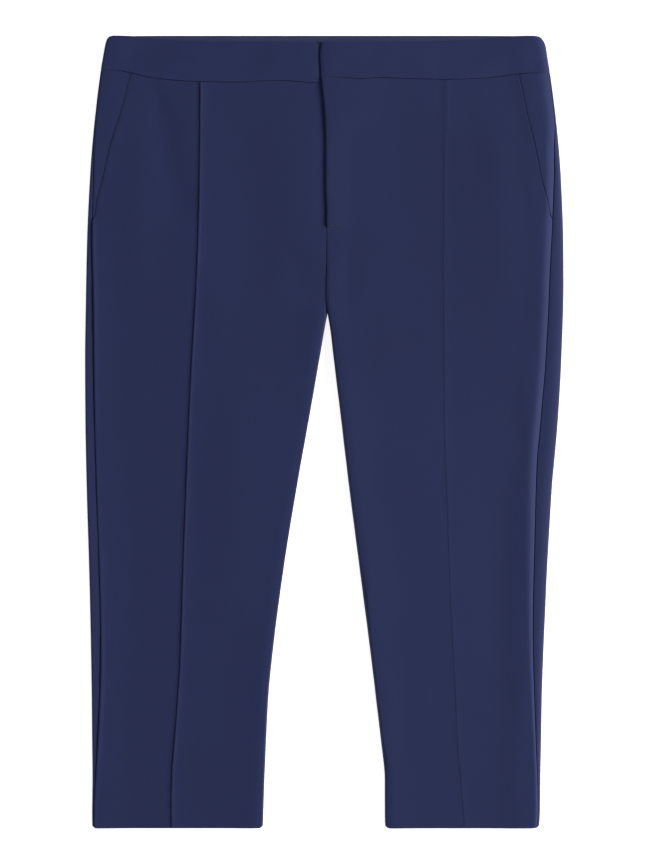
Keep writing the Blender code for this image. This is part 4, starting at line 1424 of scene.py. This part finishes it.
class Finish:
    def __init__(self, name):
        self.material = bpy.data.materials.new(name)
        self.material.use_nodes = True
        self.tree = self.material.node_tree
        self.surface = self.tree.nodes["Principled BSDF"]

    def fill(self, node, inputs):
        for key, value in inputs.items():
            if isinstance(value, Value):
                self.tree.links.new(value.socket, node.inputs[key])
            else:
                node.inputs[key].default_value = value

    def node(self, kind, settings=None, inputs=None):
        node = self.tree.nodes.new(kind)
        for key, value in (settings or {}).items():
            setattr(node, key, value)
        self.fill(node, inputs or {})
        return node

    def value(self, kind, output, settings=None, inputs=None):
        return Value(self, self.node(kind, settings, inputs).outputs[output])

    def coordinates(self, kind):
        return self.value("ShaderNodeTexCoord", kind)

    def split(self, vector):
        parts = self.node("ShaderNodeSeparateXYZ", {}, {0: vector})
        return Value(self, parts.outputs[0]), Value(self, parts.outputs[1])

    def noise(self, vector, scale, detail=3.0, roughness=0.5):
        # scale is one number, or one across and one along
        if isinstance(scale, tuple):
            vector = self.value("ShaderNodeVectorMath", 0, {"operation": "MULTIPLY"},
                                {0: vector, 1: (*scale, 1.0)})
            scale = 1.0
        return self.value("ShaderNodeTexNoise", "Fac", {},
                          {"Vector": vector, "Scale": scale, "Detail": detail, "Roughness": roughness})

    def blend(self, share, first, second):
        return self.value("ShaderNodeMix", 2, {"data_type": "RGBA"}, {0: share, 6: first, 7: second})

    def shades(self, share, colour, dark, light):
        return self.blend(share, rgba(colour, dark), rgba(colour, light))

    def bump(self, strength, distance, height):
        return self.value("ShaderNodeBump", 0, {}, {"Strength": strength, "Distance": distance,
                                                    "Height": height})


def rgba(colour, gain=1.0):
    return tuple(channel * gain for channel in colour) + (1.0,)


def around(middle, pattern, extent):
    # a pattern runs from 0 to 1
    return middle + (pattern - 0.5) * extent


suiting = dict(
    colour=(0.0077, 0.0117, 0.0443),
    dark=0.86,              # the shaded side of the yarns
    light=1.16,
    yarn=0.00042,           # width of a yarn, in metres
    twillAngle=58.0,
    # times in a metre, across and along, that each of these comes again
    wander=(40.0, 40.0),
    fibre=(2600.0, 420.0),
    slub=(260.0, 34.0),
    cloud=(16.0, 11.0),
    stray=2.5,              # how far the twill wanders
    weave=dict(twill=0.5, warp=0.16, fibre=1.3),
    tone=dict(weave=0.14, slub=0.34, cloud=0.36),
    roughness=0.78,
    roughnessRange=0.16,
    sheen=0.1,
    sheenRoughness=0.5,
    sheenTint=(0.5, 0.5, 0.8),
    gloss=0.12,
    relief=(0.55, 0.00006),     # strength and depth of the weave's bumps
)


def clothFinish(name, look, lightness=1.0, seed=0.0):
    finish = Finish(name)
    uv = finish.coordinates("UV")
    across, along = finish.split(uv)
    angle = math.radians(look["twillAngle"])
    pitch = 2.0 * math.pi / (look["yarn"] * 2.0)
    wander = finish.noise(uv, look["wander"], 2.0)
    twill = (across * math.cos(angle) + along * math.sin(angle)) * pitch + wander * look["stray"] + seed
    warp = (across * (2.0 * math.pi / look["yarn"])).sine()
    fibre = finish.noise(uv, look["fibre"], 3.0, 0.6)
    slub = finish.noise(uv, look["slub"], 2.0)
    cloud = finish.noise(uv, look["cloud"], 3.0)
    share = look["weave"]
    weave = twill.sine() * share["twill"] + warp * share["warp"] + (fibre - 0.5) * share["fibre"]
    share = look["tone"]
    tone = weave * share["weave"] + (slub - 0.5) * share["slub"] + (cloud - 0.5) * share["cloud"] + 0.5
    finish.fill(finish.surface, {
        "Base Color": finish.shades(tone, look["colour"], look["dark"] * lightness,
                                    look["light"] * lightness),
        "Roughness": around(look["roughness"], fibre, look["roughnessRange"]),
        "Normal": finish.bump(*look["relief"], weave * 0.5 + 0.5),
        "Specular IOR Level": look["gloss"],
        "Sheen Weight": look["sheen"],
        "Sheen Roughness": look["sheenRoughness"],
        "Sheen Tint": rgba(look["sheenTint"]),
    })
    return finish.material


threadLook = dict(ply=(5200.0, 900.0), dark=0.7, light=1.05, roughness=0.5, roughnessRange=0.2,
                  sheen=0.1)
nylonLook = dict(cloud=700.0, dark=0.8, light=1.25, roughness=0.36, roughnessRange=0.15)
metalLook = dict(brushed=(600.0, 6000.0), worn=(900.0, 900.0), brushedShare=0.6, roughnessRange=0.2,
                 relief=(0.3, 0.00002))


def threadFinish(look):
    finish = Finish("navyThread")
    ply = finish.noise(finish.coordinates("Object"), look["ply"], 2.0)
    finish.fill(finish.surface, {
        "Base Color": finish.shades(ply, suiting["colour"], look["dark"], look["light"]),
        "Roughness": around(look["roughness"], ply, look["roughnessRange"]),
        "Sheen Weight": look["sheen"],
        "Specular IOR Level": suiting["gloss"],
    })
    return finish.material


def metalFinish(name, look, light, dark, roughness):
    finish = Finish(name)
    place, share = finish.coordinates("Object"), look["brushedShare"]
    brushed = finish.noise(place, look["brushed"], 3.0)
    worn = finish.noise(place, look["worn"], 2.0)
    finish.fill(finish.surface, {
        "Base Color": finish.blend(brushed * share + worn * (1.0 - share), rgba(dark), rgba(light)),
        "Metallic": 1.0,
        "Roughness": around(roughness, worn, look["roughnessRange"]),
        "Normal": finish.bump(*look["relief"], brushed),
    })
    return finish.material


def nylonFinish(look):
    finish = Finish("navyNylon")
    cloud = finish.noise(finish.coordinates("Object"), look["cloud"], 2.0)
    finish.fill(finish.surface, {
        "Base Color": finish.shades(cloud, suiting["colour"], look["dark"], look["light"]),
        "Roughness": around(look["roughness"], cloud, look["roughnessRange"]),
    })
    return finish.material


def dress(piece, material, node):
    piece.data.materials.clear()
    piece.data.materials.append(material)
    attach(piece, "root")
    if node:
        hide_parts(node)


navy = clothFinish("navySuiting", suiting)
clothLooks = {
    "front": navy,
    "hip": navy,
    "back": clothFinish("navySuitingBack", suiting, 0.98, 1.7),
    "waistband": clothFinish("navyWaistband", suiting, 1.04, 3.1),
    "fly": clothFinish("zipTape", dict(suiting, colour=(0.010, 0.013, 0.036), yarn=0.0006,
                                       twillAngle=45.0, sheen=0.06)),
}
# a lighter, greyer copy of the suiting, put on the faces of the back waistband that look up
lighterBandInside = clothFinish("lighterBandInside", dict(suiting, colour=(0.0150, 0.0190, 0.0540), yarn=0.0005,
                                            twillAngle=-52.0))
for piece, (node, slotName, size, area, restsOn) in sheets:
    dress(piece, clothLooks[node.split("_")[0]], node)
# the inside of the back waistband, which shows above the front one, is given a lighter and greyer navy
# than the rest of the cloth
backBand = cloths["backBand"]
backBand.data.materials.append(lighterBandInside)
for face in backBand.data.polygons:
    face.material_index = 1 if face.normal.z > bandLook["facingUp"] else 0

steel = metalFinish("hookSteel", metalLook, (0.62, 0.62, 0.64), (0.40, 0.40, 0.42), 0.34)
gunmetal = metalFinish("sliderMetal", metalLook, (0.20, 0.20, 0.23), (0.10, 0.10, 0.12), 0.4)
hardwareLooks = {"zipTeeth": nylonFinish(nylonLook), "zipSlider": gunmetal, "waistHook": steel}
for piece, node, slotName in hardware:
    dress(piece, hardwareLooks[piece.name], node)
navyThread = threadFinish(threadLook)
for piece in threads:
    dress(piece, navyThread, None)
print("materials done")


floorLook = dict(
    size=12.0,
    under=0.0002,           # so far below the cloth
    cloud=3.0,
    grey=0.45,
    dark=0.995,
    light=1.005,
    roughness=0.95,
    glow=0.8,               # a lit white table, so shadows stay pale
    coveredHalf=0.227,      # half the width, in metres, of the table below the hips
    coveredFrom=0.135,
    coveredTo=0.394,
)
lightLook = dict(
    size=1.75,              # soft edges to the shadows
    away=5.0,               # near enough that the wearer's left is lit a little more
    world=0.42,
)
# power, degrees above the floor, and degrees from the waist end round to the wearer's left
panels = dict(key=(666.0, 22.0, 87.0), rim=(140.0, 8.0, 88.0), fill=(130.0, 12.0, -112.0))
cameraLook = dict(
    lens=85.0,
    sensor=36.0,
    frameHeight=0.9083,     # metres of the cloth's level that the long side of the view spans
    centre=(0.00084, -0.0007),
    level=0.003,
)


def makeFloor():
    bpy.ops.mesh.primitive_plane_add(size=floorLook["size"], location=(0.0, 0.0, -floorLook["under"]))
    floor = bpy.context.object
    floor.name = "floor"
    finish = Finish("paleFloor")
    place = finish.coordinates("Object")
    cloud = finish.noise(place, floorLook["cloud"], 2.0)
    colour = finish.shades(cloud, (floorLook["grey"],) * 3, floorLook["dark"], floorLook["light"])
    # no glow comes up through the seams of the hips
    across, up = finish.split(place)
    covered = (across * across).below(floorLook["coveredHalf"] ** 2)
    covered = covered * up.above(floorLook["coveredFrom"]) * up.below(floorLook["coveredTo"])
    finish.fill(finish.surface, {
        "Base Color": colour,
        "Roughness": floorLook["roughness"],
        "Specular IOR Level": 0.0,
        "Emission Color": finish.blend(covered, colour, rgba((0.0, 0.0, 0.0))),
        "Emission Strength": floorLook["glow"] / floorLook["grey"],
    })
    floor.data.materials.append(finish.material)


def makePanel(name, power, height, turn):
    panel = bpy.data.lights.new(name, "AREA")
    panel.shape = "DISK"
    panel.size = lightLook["size"]
    panel.energy = power
    lamp = bpy.data.objects.new(name, panel)
    bpy.context.scene.collection.objects.link(lamp)
    turn, height, away = math.radians(turn), math.radians(height), lightLook["away"]
    lamp.rotation_euler = (0.0, math.pi / 2.0 - height, math.pi / 2.0 - turn)
    level = math.cos(height) * away
    lamp.location = (level * math.sin(turn), level * math.cos(turn), math.sin(height) * away)


def makeWorld():
    world = bpy.data.worlds.new("studio")
    world.use_nodes = True
    background = world.node_tree.nodes["Background"]
    background.inputs["Color"].default_value = (1.0, 1.0, 1.0, 1.0)
    background.inputs["Strength"].default_value = lightLook["world"]
    bpy.context.scene.world = world


def makeCamera():
    lens = bpy.data.cameras.new("camera")
    lens.lens = cameraLook["lens"]
    lens.sensor_width = cameraLook["sensor"]
    camera = bpy.data.objects.new("camera", lens)
    bpy.context.scene.collection.objects.link(camera)
    away = cameraLook["frameHeight"] * cameraLook["lens"] / cameraLook["sensor"]
    camera.location = (*cameraLook["centre"], cameraLook["level"] + away)
    bpy.context.scene.camera = camera


makeFloor()
for name, panel in panels.items():
    makePanel(name, *panel)
makeWorld()
makeCamera()
bpy.context.scene.view_settings.view_transform = "Standard"
print("floor, light and camera done")
